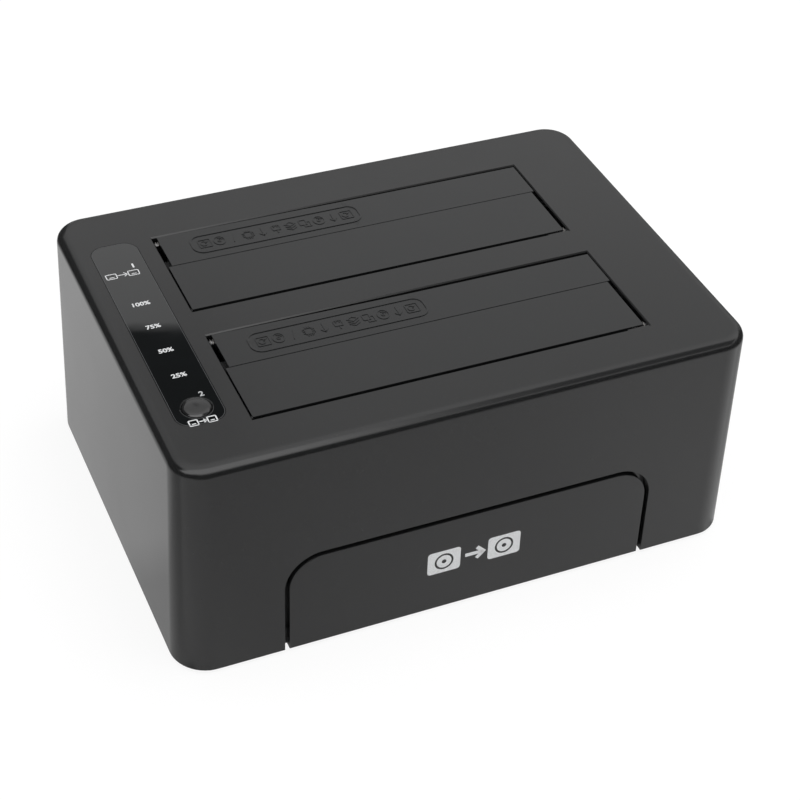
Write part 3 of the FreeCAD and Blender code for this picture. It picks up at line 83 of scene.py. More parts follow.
def placeCamera(view):
    lens = bpy.data.cameras.new("camera")
    lens.lens = view["lens"]
    lens.sensor_width = view["sensor"]
    lens.clip_start = 0.01
    lens.clip_end = 50
    axes = (Vector(view["right"]), -Vector(view["down"]), -Vector(view["forward"]))
    turn = Matrix([[axis[row] for axis in axes] for row in range(3)])
    eye = bpy.data.objects.new("camera", lens)
    eye.matrix_world = Matrix.Translation(Vector(view["place"]) * mm) @ turn.to_4x4()
    scene.collection.objects.link(eye)
    scene.camera = eye


placeCamera(cameraView)
scene.view_settings.view_transform = "Standard"
print("camera placed")


# shader writing

class Signal:  # a socket in a node tree; sums and products of signals add Math nodes
    def __init__(self, tree, socket=None):
        self.tree = tree
        self.socket = socket

    def add(self, kind, settings=None, inputs=None, out=0):
        node = self.tree.nodes.new(kind)
        for name, value in (settings or {}).items():
            if name == "stops":
                fillRamp(node.color_ramp, value)
            else:
                setattr(node, name, value)
        for name, value in (inputs or {}).items():
            if isinstance(value, Signal):
                self.tree.links.new(value.socket, node.inputs[name])
            else:
                node.inputs[name].default_value = value
        return Signal(self.tree, node.outputs[out] if len(node.outputs) else None)

    def calc(self, operation, *values, clamp=False):
        settings = {"operation": operation, "use_clamp": clamp}
        return self.add("ShaderNodeMath", settings, dict(enumerate(values)))

    def __add__(self, other):
        return self.calc("ADD", self, other)

    __radd__ = __add__

    def __sub__(self, other):
        return self.calc("SUBTRACT", self, other)

    def __rsub__(self, other):
        return self.calc("SUBTRACT", other, self)

    def __mul__(self, other):
        return self.calc("MULTIPLY", self, other)

    __rmul__ = __mul__


def fillRamp(ramp, stops):
    while len(ramp.elements) < len(stops):
        ramp.elements.new(1)
    for element, (place, level) in zip(ramp.elements, stops):
        element.position = place
        element.color = (level, level, level, 1)


def newMaterial(name):
    material = bpy.data.materials.new(name)
    material.use_nodes = True
    material.node_tree.nodes.clear()
    return material, Signal(material.node_tree)


def atObject(tree):  # the piece's own coordinates, in millimetres
    place = tree.add("ShaderNodeTexCoord", out="Object")
    settings = {"operation": "SCALE"}
    return tree.add("ShaderNodeVectorMath", settings, {0: place, "Scale": 1 / mm})


def noise(tree, place, size, detail=2.0, roughness=0.5):
    inputs = {"Vector": place, "Scale": 1 / size, "Detail": detail, "Roughness": roughness}
    return tree.add("ShaderNodeTexNoise", None, inputs)


def ramp(tree, value, *stops):
    return tree.add("ShaderNodeValToRGB", {"stops": stops}, {"Fac": value})


def blendColour(tree, amount, first, second):
    settings = {"data_type": "RGBA"}
    return tree.add("ShaderNodeMix", settings, {0: amount, 6: first, 7: second}, out=2)


def bump(tree, height, depth, strength=1.0):
    inputs = {"Height": height, "Distance": depth * mm, "Strength": strength}
    return tree.add("ShaderNodeBump", None, inputs)


def surfaceFrom(name, recipe, *values):
    # a recipe turns the tree, the place on the piece and its values into the shader's inputs
    material, tree = newMaterial(name)
    inputs = recipe(tree, atObject(tree), *values)
    shader = tree.add("ShaderNodeBsdfPrincipled", None, inputs)
    tree.add("ShaderNodeOutputMaterial", None, {"Surface": shader})
    return material


def rgb(colour):
    return (*colour, 1.0)


def shade(colour, factor):
    return (*(min(1.0, channel * factor) for channel in colour), 1.0)


def mouldedPlastic(tree, place, look):
    # spark-eroded grain, slow flow marks and a little dust in the pores
    grain = noise(tree, place, look["grain"], 3.0, 0.6)
    flow = noise(tree, place, look["flow"], 2.0)
    pores = {"Vector": place, "Scale": look["pores"] / look["grain"]}
    cells = tree.add("ShaderNodeTexVoronoi", {"feature": "F1"}, pores)
    colour = blendColour(tree, 0.5 * flow + 0.5 * grain, shade(look["colour"], 1 - look["mottle"]),
                         shade(look["colour"], 1 + look["mottle"]))
    specks = noise(tree, place, look["fleckSize"], 1.0)
    fleck = ramp(tree, specks, (0.0, 0.0), (0.70, 0.0), (0.80, 1.0)) * look["fleck"]
    spread = look["spread"]
    roughness = look["roughness"] + spread * (flow - 0.5) + 0.5 * spread * (grain - 0.5)
    return {
        "Base Color": blendColour(tree, fleck, colour, rgb(look["dust"])), "Roughness": roughness,
        "IOR": look["ior"], "Normal": bump(tree, 0.7 * grain + 0.3 * cells, look["depth"]),
    }


casePlastic = {"colour": (0.0118, 0.012, 0.0124), "grain": 0.22, "pores": 1.4, "flow": 14.0,
               "mottle": 0.10, "fleckSize": 0.5, "fleck": 0.03, "dust": (0.35, 0.34, 0.33),
               "roughness": 0.20, "spread": 0.05, "ior": 1.43, "depth": 0.002}
socketPlastic = dict(casePlastic, colour=(0.013, 0.013, 0.014), grain=0.15, flow=4.0,
                     fleckSize=0.3, roughness=0.33, spread=0.08, ior=1.5, depth=0.003)
plasticLooks = {
    "case_plastic": casePlastic,
    "flap_plastic": dict(casePlastic, colour=(0.0118, 0.0123, 0.0128), flow=9.0, roughness=0.22),
    "inner_plastic": dict(casePlastic, colour=(0.012, 0.012, 0.0125), grain=0.5, roughness=0.4),
    "button_plastic": dict(casePlastic, colour=(0.012, 0.012, 0.0125), grain=0.12, flow=3.0,
                           mottle=0.08, fleckSize=0.3, fleck=0.02, roughness=0.14, spread=0.04,
                           ior=1.5, depth=0.001),
    "socket_plastic": socketPlastic,
    "port_plastic": dict(socketPlastic, colour=(0.02, 0.09, 0.42)),
    "header_plastic": dict(socketPlastic, colour=(0.72, 0.69, 0.58), fleck=0.0),
    "chip_plastic": dict(socketPlastic, colour=(0.02, 0.02, 0.021), roughness=0.5, grain=0.08),
    "lead_jacket": dict(socketPlastic, colour=(0.28, 0.29, 0.31), roughness=0.45),
}


def footRubber(tree, place, look):
    grain = noise(tree, place, look["grain"], 4.0, 0.7)
    patches = noise(tree, place, look["patch"], 3.0)
    dust = ramp(tree, patches, (0.0, 0.0), (0.5, 0.0), (0.8, 1.0))
    colour = blendColour(tree, look["dusty"] * dust, rgb(look["colour"]), rgb(look["dust"]))
    return {"Base Color": colour, "Roughness": look["roughness"] + look["spread"] * dust,
            "Normal": bump(tree, grain, look["depth"])}


footRubberLook = {"colour": (0.014, 0.014, 0.014), "dust": (0.10, 0.095, 0.09), "dusty": 0.35,
                  "grain": 0.35, "patch": 2.2, "roughness": 0.75, "spread": 0.12, "depth": 0.02}


def labelGloss(tree, place, look):
    # a clear hard coat over black: nearly a mirror, with the faint swirl of wiping
    swirl = {"Vector": place, "Scale": look["stretch"], "Rotation": (0, 0, look["turn"])}
    wipe = noise(tree, tree.add("ShaderNodeMapping", None, swirl), look["wipeSize"], 4.0, 0.7)
    patches = noise(tree, place, look["smearSize"], 2.0)
    smear = ramp(tree, patches, (0.0, 0.0), (0.45, 0.0), (0.75, 1.0))
    worn = shade(look["colour"], look["worn"])
    colour = blendColour(tree, look["smear"] * smear, rgb(look["colour"]), worn)
    wave = noise(tree, place, look["wave"], 1.0)
    return {"Base Color": colour, "IOR": look["ior"],
            "Roughness": look["roughness"] + look["wipe"] * smear * wipe,
            "Normal": bump(tree, wave, look["depth"], look["strength"])}


labelGlossLook = {"colour": (0.0028, 0.0036, 0.004), "worn": 1.8, "smear": 0.4, "smearSize": 9.0,
                  "stretch": (0.25, 2.0, 1.0), "turn": 0.5, "wipe": 0.025, "wipeSize": 1.2,
                  "roughness": 0.02, "ior": 1.55, "wave": 6.0, "depth": 0.004, "strength": 0.6}


inkLook = {"grain": 0.18, "roughness": 0.42, "spread": 0.1, "depth": 0.004}
# the last tone paints a highlight: a thin grey line along the label's edge
inkTones = {"whiteInk": ((0.82, 0.83, 0.84), 0.72), "greyInk": ((0.50, 0.51, 0.52), 0.8),
            "paintedEdgeHighlight": ((0.06, 0.062, 0.065), 0.8)}  # a colour, and how dark its patches are


def printInk(tree, place, colour, patch):
    # screen-printed ink, thinner and darker in small patches
    thin = noise(tree, place, inkLook["grain"], 3.0, 0.6)
    patches = ramp(tree, thin, (0.35, 1.0), (0.6, 0.0))
    return {"Base Color": blendColour(tree, patches, rgb(colour), shade(colour, patch)),
            "Roughness": inkLook["roughness"] + inkLook["spread"] * thin,
            "Normal": bump(tree, thin, inkLook["depth"])}


def boardLaminate(tree, place, look):
    # solder mask over copper runs: the runs show as slightly lighter, raised bands
    warp = noise(tree, place, look["warp"], 1.0)
    bent = tree.add("ShaderNodeVectorMath", {"operation": "ADD"}, {0: place, 1: warp})
    bricks = {"offset": 0.37, "squash": 1.6, "squash_frequency": 3}
    runs = tree.add("ShaderNodeTexBrick", bricks, {
        "Vector": bent, "Scale": look["runScale"], "Mortar Size": look["runWidth"],
        "Mortar Smooth": 0.2, "Color1": rgb((0, 0, 0)), "Color2": rgb((0, 0, 0)),
        "Mortar": rgb((1, 1, 1))})
    weave = noise(tree, place, look["weave"], 2.0)
    return {"Base Color": blendColour(tree, runs, rgb(look["mask"]), rgb(look["run"])),
            "Roughness": look["roughness"] + look["spread"] * weave, "Coat Weight": look["coat"],
            "Normal": bump(tree, 0.8 * runs + 0.2 * weave, look["depth"])}


laminateLook = {"mask": (0.006, 0.07, 0.032), "run": (0.012, 0.13, 0.055), "warp": 7.0,
                "runScale": 0.32, "runWidth": 0.035, "weave": 0.4, "roughness": 0.3, "spread": 0.1,
                "coat": 0.4, "depth": 0.03}


def metal(tree, place, look):
    # drawn or rolled stock: fine lines along one axis, over a slow change of tarnish
    along = tree.add("ShaderNodeMapping", None, {"Vector": place, "Scale": look["lines"]})
    lines = noise(tree, along, look["lineSize"], 3.0, 0.6)
    dulled = ramp(tree, noise(tree, place, look["tarnishSize"], 3.0), (0.3, 0.0), (0.75, 1.0))
    return {"Base Color": blendColour(tree, dulled, rgb(look["colour"]), rgb(look["tarnish"])),
            "Metallic": 1.0, "Roughness": look["roughness"] + look["spread"] * lines,
            "Normal": bump(tree, lines, look["depth"])}


platedSteel = {"colour": (0.66, 0.66, 0.64), "tarnish": (0.52, 0.51, 0.48), "lines": (1, 6, 1),
               "lineSize": 0.8, "tarnishSize": 5.0, "roughness": 0.22, "spread": 0.14,
               "depth": 0.003}
metalLooks = {
    "plated_steel": platedSteel,
    "pin_steel": dict(platedSteel, colour=(0.26, 0.26, 0.27), tarnish=(0.2, 0.2, 0.2),
                      lines=(0.1, 6, 6), roughness=0.34),
    "spring_steel": dict(platedSteel, colour=(0.30, 0.295, 0.285), tarnish=(0.20, 0.19, 0.18),
                         lines=(3, 3, 3), lineSize=0.3, roughness=0.32),
    "screw_steel": dict(platedSteel, colour=(0.22, 0.22, 0.23), tarnish=(0.14, 0.13, 0.12),
                        roughness=0.32),
    "contact_gold": dict(platedSteel, colour=(0.80, 0.58, 0.25), tarnish=(0.62, 0.42, 0.18),
                         lineSize=0.3),
    "can_aluminium": dict(platedSteel, colour=(0.75, 0.76, 0.78), tarnish=(0.62, 0.63, 0.65)),
}


def lightResin(tree, place, look):
    haze = noise(tree, place, look["haze"], 2.0)
    colour = blendColour(tree, haze, rgb(look["colour"]), shade(look["colour"], look["dull"]))
    return {"Base Color": colour, "Roughness": look["roughness"] + look["spread"] * haze,
            "Transmission Weight": look["clear"], "IOR": look["ior"],
            "Normal": bump(tree, haze, look["depth"])}


lightResinLook = {"colour": (0.75, 0.78, 0.82), "dull": 0.8, "haze": 0.8, "roughness": 0.12,
                  "spread": 0.1, "clear": 0.6, "ior": 1.53, "depth": 0.004}

recipes = (
    (mouldedPlastic, plasticLooks), (metal, metalLooks),
    (footRubber, {"foot_rubber": footRubberLook}), (labelGloss, {"label_gloss": labelGlossLook}),
    (lightResin, {"light_resin": lightResinLook}),
    (boardLaminate, {"board_laminate": laminateLook}),
)
materials = {}
for recipe, looks in recipes:
    for slotName, look in looks.items():
        first, second = slotName.split("_")
        materials[slotName] = surfaceFrom(first + second.title(), recipe, look)
whiteInk, greyInk, paintedEdgeHighlight = (surfaceFrom(name, printInk, *tone)
                                for name, tone in inkTones.items())
print("materials made:", len(materials) + len(inkTones))

slotOf = {part["node"]: part["material_slot"] for part in frame["record"]["subparts"]}
for name, node in nodes.items():
    node.data.materials.clear()
    node.data.materials.append(materials[slotOf[name]])


# shapes: every mesh is built in millimetres and scaled once, in pieceFrom

touching = 0.0005  # points closer than this become one point
near = 0.01  # a point this close to a height or an edge lies on it
flatWithin = 0.3  # faces that meet at fewer degrees than this become one
softFrom = 30.0  # edges are softened where faces meet at more than this many degrees


def extent(name):
    low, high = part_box(name)
    return low / mm, high / mm


def middleOf(low, high):  # the middle of a box and its half sizes
    return (low + high) / 2, (high - low) / 2


def linkMesh(bm, name, material):
    mesh = bpy.data.meshes.new(name)
    bm.to_mesh(mesh)
    bm.free()
    mesh.materials.append(material)
    piece = bpy.data.objects.new(name, mesh)
    scene.collection.objects.link(piece)
    return piece


def pieceFrom(bm, name, body, material, smoothAngle=35.0, weighted=False):
    # turns a mesh under construction into a finished piece that rides on a body
    bmesh.ops.scale(bm, vec=(mm, mm, mm), verts=bm.verts[:])
    limit = math.radians(smoothAngle)
    for face in bm.faces:
        face.smooth = True
    for edge in bm.edges:
        edge.smooth = len(edge.link_faces) == 2 and edge.calc_face_angle(0) < limit
    piece = linkMesh(bm, name, material)
    if weighted:
        modifier = piece.modifiers.new("faceNormals", "WEIGHTED_NORMAL")
        modifier.keep_sharp = True
        modifier.weight = 100
    if body is not None:
        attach(piece, body)
    return piece


def fitted(bm, name, slotName, body="casing"):
    # a piece of the scene's own, in one of the part's materials
    return pieceFrom(bm, name, body, materials[slotName])


def standIn(bm, replaced, name, smoothAngle=35.0, weighted=False):
    # the piece shown in place of a CAD node
    slotName = slotOf[replaced]
    body = nodes[replaced]["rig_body"]
    piece = pieceFrom(bm, name, body, materials[slotName], smoothAngle, weighted)
    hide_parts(replaced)


def mergedCopy(name):
    bm = bmesh.new()
    bm.from_mesh(nodes[name].data)
    bmesh.ops.scale(bm, vec=(1 / mm, 1 / mm, 1 / mm), verts=bm.verts[:])
    bmesh.ops.remove_doubles(bm, verts=bm.verts[:], dist=touching)
    bmesh.ops.dissolve_limit(bm, angle_limit=math.radians(flatWithin), verts=bm.verts[:],
                             edges=bm.edges[:])
    return bm


def roundEdges(bm, edges, width, segments=2):
    bmesh.ops.bevel(bm, geom=edges, offset=width, offset_type="OFFSET", segments=segments,
                    profile=0.5, affect="EDGES", clamp_overlap=True, material=-1)


def finishDress(bm, name, width, chosen=None):
    # soft edges and clean shading for a copy of a CAD node, shown in its place
    limit = math.radians(softFrom)
    edges = [edge for edge in bm.edges if len(edge.link_faces) == 2
             and edge.calc_face_angle(0) > limit and (chosen is None or chosen(edge))]
    roundEdges(bm, edges, width)
    bmesh.ops.triangulate(bm, faces=[face for face in bm.faces if len(face.verts) > 4])
    standIn(bm, name, name + "_dressed", weighted=True)


def dress(name, width, chosen=None):
    finishDress(mergedCopy(name), name, width, chosen)


def roundOutline(centre, radius, steps=48):
    turns = (2 * math.pi * step / steps for step in range(steps))
    return [(centre[0] + radius * math.cos(turn), centre[1] + radius * math.sin(turn))
            for turn in turns]


def inward(half, inset):
    return half - Vector((inset, inset, 0))


def boxOutline(centre, half, radius=0.0, steps=8):
    # a rectangle's outline, anticlockwise, with its corners rounded
    points = []
    for number, (sideX, sideY) in enumerate(((1, 1), (-1, 1), (-1, -1), (1, -1))):
        for step in range(steps + 1 if radius else 1):
            turn = math.radians(90 * (number + step / steps))
            points.append((centre[0] + sideX * (half[0] - radius) + radius * math.cos(turn),
                           centre[1] + sideY * (half[1] - radius) + radius * math.sin(turn)))
    return points


def addSlab(bm, outline, low, high, holes=()):
    # a flat plate between two heights, with holes through it
    rim = []
    for loop in (outline, *holes):
        points = [bm.verts.new((x, y, low)) for x, y in loop]
        rim += [bm.edges.new(pair) for pair in zip(points, points[1:] + points[:1])]
    sheet = bmesh.ops.triangle_fill(bm, edges=rim, use_beauty=True, use_dissolve=False)["geom"]
    faces = [item for item in sheet if isinstance(item, bmesh.types.BMFace)]
    raised = bmesh.ops.extrude_face_region(bm, geom=faces)["geom"]
    lifted = [item for item in raised if isinstance(item, bmesh.types.BMVert)]
    bmesh.ops.translate(bm, vec=(0, 0, high - low), verts=lifted)
    corners = {corner for face in faces for corner in face.verts} | set(lifted)
    solid = list({face for corner in corners for face in corner.link_faces})
    bmesh.ops.recalc_face_normals(bm, faces=solid)
    return list(corners)


def addBlock(bm, low, high, soft=0.0, segments=2):
    # a box between two corners, with its edges rounded
    low, high = Vector(low), Vector(high)
    corners = bmesh.ops.create_cube(bm, size=1.0)["verts"]
    bmesh.ops.scale(bm, vec=high - low, verts=corners)
    bmesh.ops.translate(bm, vec=(low + high) / 2, verts=corners)
    if soft:
        edges = list({edge for corner in corners for edge in corner.link_edges})
        roundEdges(bm, edges, soft, segments)


def madeSince(bm, before):
    return [corner for corner in bm.verts if corner not in before]


def addTurned(bm, profile, centre, axis="z", steps=48):
    # a solid of revolution; the profile lists (radius, height) along the axis
    before = set(bm.verts)
    start = [bm.verts.new((radius, 0, height)) for radius, height in profile]
    edges = [bm.edges.new(pair) for pair in zip(start, start[1:])]
    bmesh.ops.spin(bm, geom=start + edges, cent=(0, 0, 0), axis=(0, 0, 1),
                   angle=2 * math.pi, steps=steps, use_merge=True)
    bmesh.ops.remove_doubles(bm, verts=madeSince(bm, before), dist=touching)
    corners = madeSince(bm, before)
    quarter = math.radians(90)
    turn = {"x": Matrix.Rotation(quarter, 3, "Y"), "y": Matrix.Rotation(-quarter, 3, "X"),
            "z": Matrix.Identity(3)}[axis]
    bmesh.ops.rotate(bm, cent=(0, 0, 0), matrix=turn, verts=corners)
    bmesh.ops.translate(bm, vec=centre, verts=corners)
    faces = list({face for corner in corners for face in corner.link_faces})
    bmesh.ops.recalc_face_normals(bm, faces=faces)


def addWire(bm, path, radius, sides=10):
    # a round wire along a list of points
    path = [Vector(point) for point in path]
    ways = [(after - before).normalized() for before, after in zip(path, path[1:])]
    across = ways[0].orthogonal().normalized()
    rings = []
    for point, before, after in zip(path, ways[:1] + ways, ways + ways[-1:]):
        way = (before + after).normalized()
        across = (across - way * across.dot(way)).normalized()
        over = way.cross(across)
        ring = []
        for side in range(sides):
            turn = 2 * math.pi * side / sides
            reach = across * math.cos(turn) + over * math.sin(turn)
            ring.append(bm.verts.new(point + reach * radius))
        rings.append(ring)
    for ring, following in zip(rings, rings[1:]):
        for side in range(sides):
            other = (side + 1) % sides
            bm.faces.new((ring[side], ring[other], following[other], following[side]))
    bm.faces.new(rings[0][::-1])
    bm.faces.new(rings[-1])


def offsetLine(points, reach, closed):
    # a line moved sideways, with its bends mitred
    sharpestMitre = 0.4
    points = [Vector(point) for point in points]
    count = len(points)
    moved = []
    for number, point in enumerate(points):
        before = points[number - 1] if closed or number else None
        after = points[(number + 1) % count] if closed or number + 1 < count else None
        first = (point - before if before is not None else after - point).normalized()
        second = (after - point).normalized() if after is not None else first
        normal = Vector((-(first + second).y, (first + second).x)).normalized()
        mitre = max(normal.dot(Vector((-first.y, first.x))), sharpestMitre)
        moved.append(tuple(point + normal * reach / mitre))
    return moved


def addStroke(bm, points, width, low, high, closed=False):
    # a raised line of even width
    left = offsetLine(points, width / 2, closed)
    right = offsetLine(points, -width / 2, closed)
    if closed:
        return addSlab(bm, right, low, high, holes=[left])
    return addSlab(bm, left + right[::-1], low, high)


def addWords(bm, words, centre, size, low, high, weight):
    # plain figures, made mesh and fitted to a height, and to a width if one is given
    curve = bpy.data.curves.new("words", "FONT")
    curve.body = words
    curve.offset = weight
    curve.extrude = 0.5
    curve.resolution_u = 4
    thing = bpy.data.objects.new("words", curve)
    scene.collection.objects.link(thing)
    mesh = bpy.data.meshes.new_from_object(thing)
    bpy.data.objects.remove(thing)
    reach = [[corner.co[axis] for corner in mesh.vertices] for axis in range(3)]
    least = Vector([min(values) for values in reach])
    full = Vector([max(values) for values in reach]) - least
    width = size[0] or size[1] * full.x / full.y
    goal = Vector((width, size[1], high - low))
    place = Vector((centre[0] - width / 2, centre[1] - size[1] / 2, low))
    for corner in mesh.vertices:
        corner.co = place + Vector([(corner.co[axis] - least[axis]) / full[axis] * goal[axis]
                                    for axis in range(3)])
    bm.from_mesh(mesh)
    bpy.data.meshes.remove(mesh)


# small generic signs, each a list of (points, closed) in a unit square about its middle

def arcPoints(radius, start, stop, steps, centre=(0, 0)):
    turns = (math.radians(start + (stop - start) * step / steps) for step in range(steps + 1))
    return [(centre[0] + radius * math.cos(turn), centre[1] + radius * math.sin(turn))
            for turn in turns]


driveSign = [(boxOutline((0, 0), (0.5, 0.42), 0.1, 3), True),
             (roundOutline((-0.1, 0.0), 0.24, 20), True), ([(0.34, 0.26), (0.05, -0.02)], False)]
discSign = [(roundOutline((0, 0), 0.45, 28), True), (roundOutline((0, 0), 0.12, 14), True),
            (arcPoints(0.29, 20, 110, 6), False)]
chipSign = [(boxOutline((0, 0), (0.3, 0.3), 0.05, 2), True)]
for side in (-1, 1):
    for row in (-0.18, 0, 0.18):
        chipSign += [([(side * 0.3, row), (side * 0.47, row)], False),
                     ([(row, side * 0.3), (row, side * 0.47)], False)]
arrowSign = [([(0, 0.45), (0, -0.42)], False), ([(-0.28, -0.14), (0, -0.42), (0.28, -0.14)], False)]
plugSign = [(boxOutline((0, 0.12), (0.32, 0.26), 0.06, 3), True), ([(0, -0.14), (0, -0.45)], False),
            ([(-0.14, 0.38), (-0.14, 0.2)], False), ([(0.14, 0.38), (0.14, 0.2)], False)]
stackSign = [([(-0.42, 0.22), (0, 0.44), (0.42, 0.22), (0, 0.0)], True),
             ([(-0.42, 0.0), (0, -0.22), (0.42, 0.0)], False),
             ([(-0.42, -0.22), (0, -0.44), (0.42, -0.22)], False)]
copySign = [(boxOutline((-0.14, 0.1), (0.28, 0.28), 0.06, 3), True),
            ([(0.2, 0.1), (0.42, 0.1), (0.42, -0.42), (-0.1, -0.42), (-0.1, -0.22)], False)]
slashSign = [([(0.12, 0.45), (-0.12, -0.45)], False)]
plainDrive = [(boxOutline((0, 0), (0.5, 0.5), 0.12, 3), True),
              ([(-0.24, -0.2), (0.24, -0.2)], False)]
rightArrow = [([(-0.5, 0), (0.5, 0)], False), ([(0.14, 0.4), (0.5, 0), (0.14, -0.4)], False)]


def addSign(bm, sign, centre, size, width, low, high):
    for points, closed in sign:
        placed = [(centre[0] + x * size[0], centre[1] + y * size[1]) for x, y in points]
        addStroke(bm, placed, width, low, high, closed)


# housing: the drafted cover and the tray, with the edges of the front arch and the foot softened

housing = {"draft": 1.45, "archSoft": 0.22, "apronSoft": 0.25, "skirt": 33.0, "skin": 0.08,
           "mouthSide": 53.0, "mouthAngle": 1.2}
caseLow, caseHigh = extent("top_cover")
caseLean = math.tan(math.radians(housing["draft"]))


def frontSkinAt(z):  # how far forward the sloping front is at a height
    return caseLow.y + (z - caseLow.z) * caseLean


def onFrontSkin(edge):
    spot = (edge.verts[0].co + edge.verts[1].co) / 2
    return spot.z < housing["skirt"] and abs(spot.y - frontSkinAt(spot.z)) < housing["skin"]


def onOpening(edge):  # true for an edge of a bay's mouth in the top, or of the front arch
    ends = [corner.co for corner in edge.verts]
    onTop = all(end.z > caseHigh.z - near and abs(end.x) < housing["mouthSide"] for end in ends)
    return onFrontSkin(edge) or (onTop and edge.calc_face_angle(0) > housing["mouthAngle"])


dress("top_cover", housing["archSoft"], onOpening)
dress("base_tray", housing["apronSoft"], onFrontSkin)
print("housing dressed")


# flaps: softened plates, with a row of raised signs inside each narrow flap's frame

flapLook = {"soft": 0.12, "rearGap": 0.15, "rearTaper": {"rear": 0.5, "front": 0.85},
            "underside": 62.94, "rearBand": 0.02, "edgeDepth": 0.1, "lowShare": 0.35,
            "frameRise": 0.3, "frameShown": 0.18}
flapSigns = {"row": (driveSign, discSign, slashSign, chipSign, arrowSign, plugSign, stackSign,
                     copySign, discSign, arrowSign, driveSign),
             "middle": (-20.35, -6.85), "pitch": 3.95, "size": (3.3, 4.0), "line": 0.28,
             "sink": 0.05, "rise": 0.14}


def dressNarrowFlap(name, taper):
    # the frame is low; the rear edge stands back from the mouth, fully from half way to the right
    bm = mergedCopy(name)
    low, high = extent(name)
    face = high.z - flapLook["frameRise"]
    geometry = bm.verts[:] + bm.edges[:] + bm.faces[:]
    bmesh.ops.bisect_plane(bm, geom=geometry, plane_co=(low + high) / 2, plane_no=(1, 0, 0))
    for corner in bm.verts:
        spot = corner.co
        if spot.z > high.z - near:
            spot.z -= flapLook["frameRise"] - flapLook["frameShown"]
        if spot.z > flapLook["underside"] and spot.y > high.y - flapLook["rearBand"]:
            share = min(2 * (spot.x - low.x) / (high.x - low.x), 1)
            depthShare = 1 if spot.z > face - flapLook["edgeDepth"] else flapLook["lowShare"]
            spot.y -= (flapLook["rearGap"] + taper * share) * depthShare
    finishDress(bm, name, flapLook["soft"])


def makeFlapSigns(name, pieceName):
    low, high = extent(name)
    face = high.z - flapLook["frameRise"]
    rowX = (low.x + high.x) / 2 + flapSigns["middle"][0]
    rowY = high.y + flapSigns["middle"][1]
    signs = bmesh.new()
    for number, sign in enumerate(flapSigns["row"]):
        signX = rowX + (number - (len(flapSigns["row"]) - 1) / 2) * flapSigns["pitch"]
        addSign(signs, sign, (signX, rowY), flapSigns["size"], flapSigns["line"],
                face - flapSigns["sink"], face + flapSigns["rise"])
    fitted(signs, pieceName, "flap_plastic", name)


for bay in ("rear", "front"):
    dressNarrowFlap(f"{bay}_narrow_flap", flapLook["rearTaper"][bay])
    dress(f"{bay}_wide_flap", flapLook["soft"])
    makeFlapSigns(f"{bay}_narrow_flap", f"{bay}_flap_signs")
print("flaps dressed")


# label: a glossy slab with a rolled edge, and a thin lip round the button's hole

labelLook = {"corner": 3.9, "cornerSteps": 12, "edge": 0.14, "edgeAngle": 0.5, "holeGap": 0.15,
             "lip": 3.72,
             "lipProfile": ((0, -0.05), (0, 0.04), (0.06, 0.08), (0.16, 0.08), (0.28, 0.02),
                            (0.3, -0.05))}
buttonLook = {"radius": 3.55, "rise": 0.8, "flatShare": 0.7, "flatSteps": 6,
              "rollTilts": (5, 62), "rollSteps": 12,
              "flange": 4.35, "flangeTop": 2.1, "flangeThickness": 1.2, "flangeSoft": 0.2}
labelLow, labelHigh = extent("label_panel")
labelMiddle, labelHalf = middleOf(labelLow, labelHigh)
buttonMiddle = middleOf(*extent("clone_button"))[0]
buttonRadius = buttonLook["radius"]
buttonSeat = (buttonMiddle.x, buttonMiddle.y, labelHigh.z)
label = bmesh.new()
addSlab(label, boxOutline(labelMiddle, labelHalf, labelLook["corner"], labelLook["cornerSteps"]),
        labelLow.z, labelHigh.z,
        holes=[roundOutline(buttonMiddle, buttonRadius + labelLook["holeGap"], 64)])
topEdges = [edge for edge in label.edges if edge.calc_face_angle(0) > labelLook["edgeAngle"]
            and all(corner.co.z > labelHigh.z - near for corner in edge.verts)]
roundEdges(label, topEdges, labelLook["edge"], 3)
lip = [(labelLook["lip"] + reach, height) for reach, height in labelLook["lipProfile"]]
addTurned(label, lip + lip[:1], buttonSeat, steps=72)
standIn(label, "label_panel", "label_slab", smoothAngle=12)


# the label's print: a gauge, the source drive's sign with its number, and the copying sign

labelPrint = {"sink": 0.01, "rise": 0.012, "figure": (4.5, 1.6), "figureWeight": 0.03,
              "shortShare": 0.83, "numeral": (None, 1.8), "numeralWeight": 0.055}
gauge = {"x": -63.43, "rows": (("100%", 10.91), ("75%", 1.04), ("50%", -9.03), ("25%", -19.22))}
sourceSign = {"middle": (-64.2, 24.3), "spread": 2.9, "drive": (2.7, 2.0), "arrow": (2.7, 2.0),
              "line": 0.26, "number": (-60.6, 27.3)}
copyingSign = {"middle": (-63.48, -37.15), "spread": 2.25, "drive": (2.1, 1.9), "arrow": (1.7, 1.5),
               "line": 0.34, "number": (-60.7, -27.6)}
borderLook = {"inset": 0.19, "line": 0.12}
inkLayer = (labelHigh.z - labelPrint["sink"], labelHigh.z + labelPrint["rise"])


def addDriveToDrive(bm, look):
    # one drive, an arrow to the right and a second drive
    x, y = look["middle"]
    for side in (-1, 1):
        addSign(bm, plainDrive, (x + side * look["spread"], y), look["drive"], look["line"],
                *inkLayer)
    addSign(bm, rightArrow, (x, y), look["arrow"], look["line"], *inkLayer)


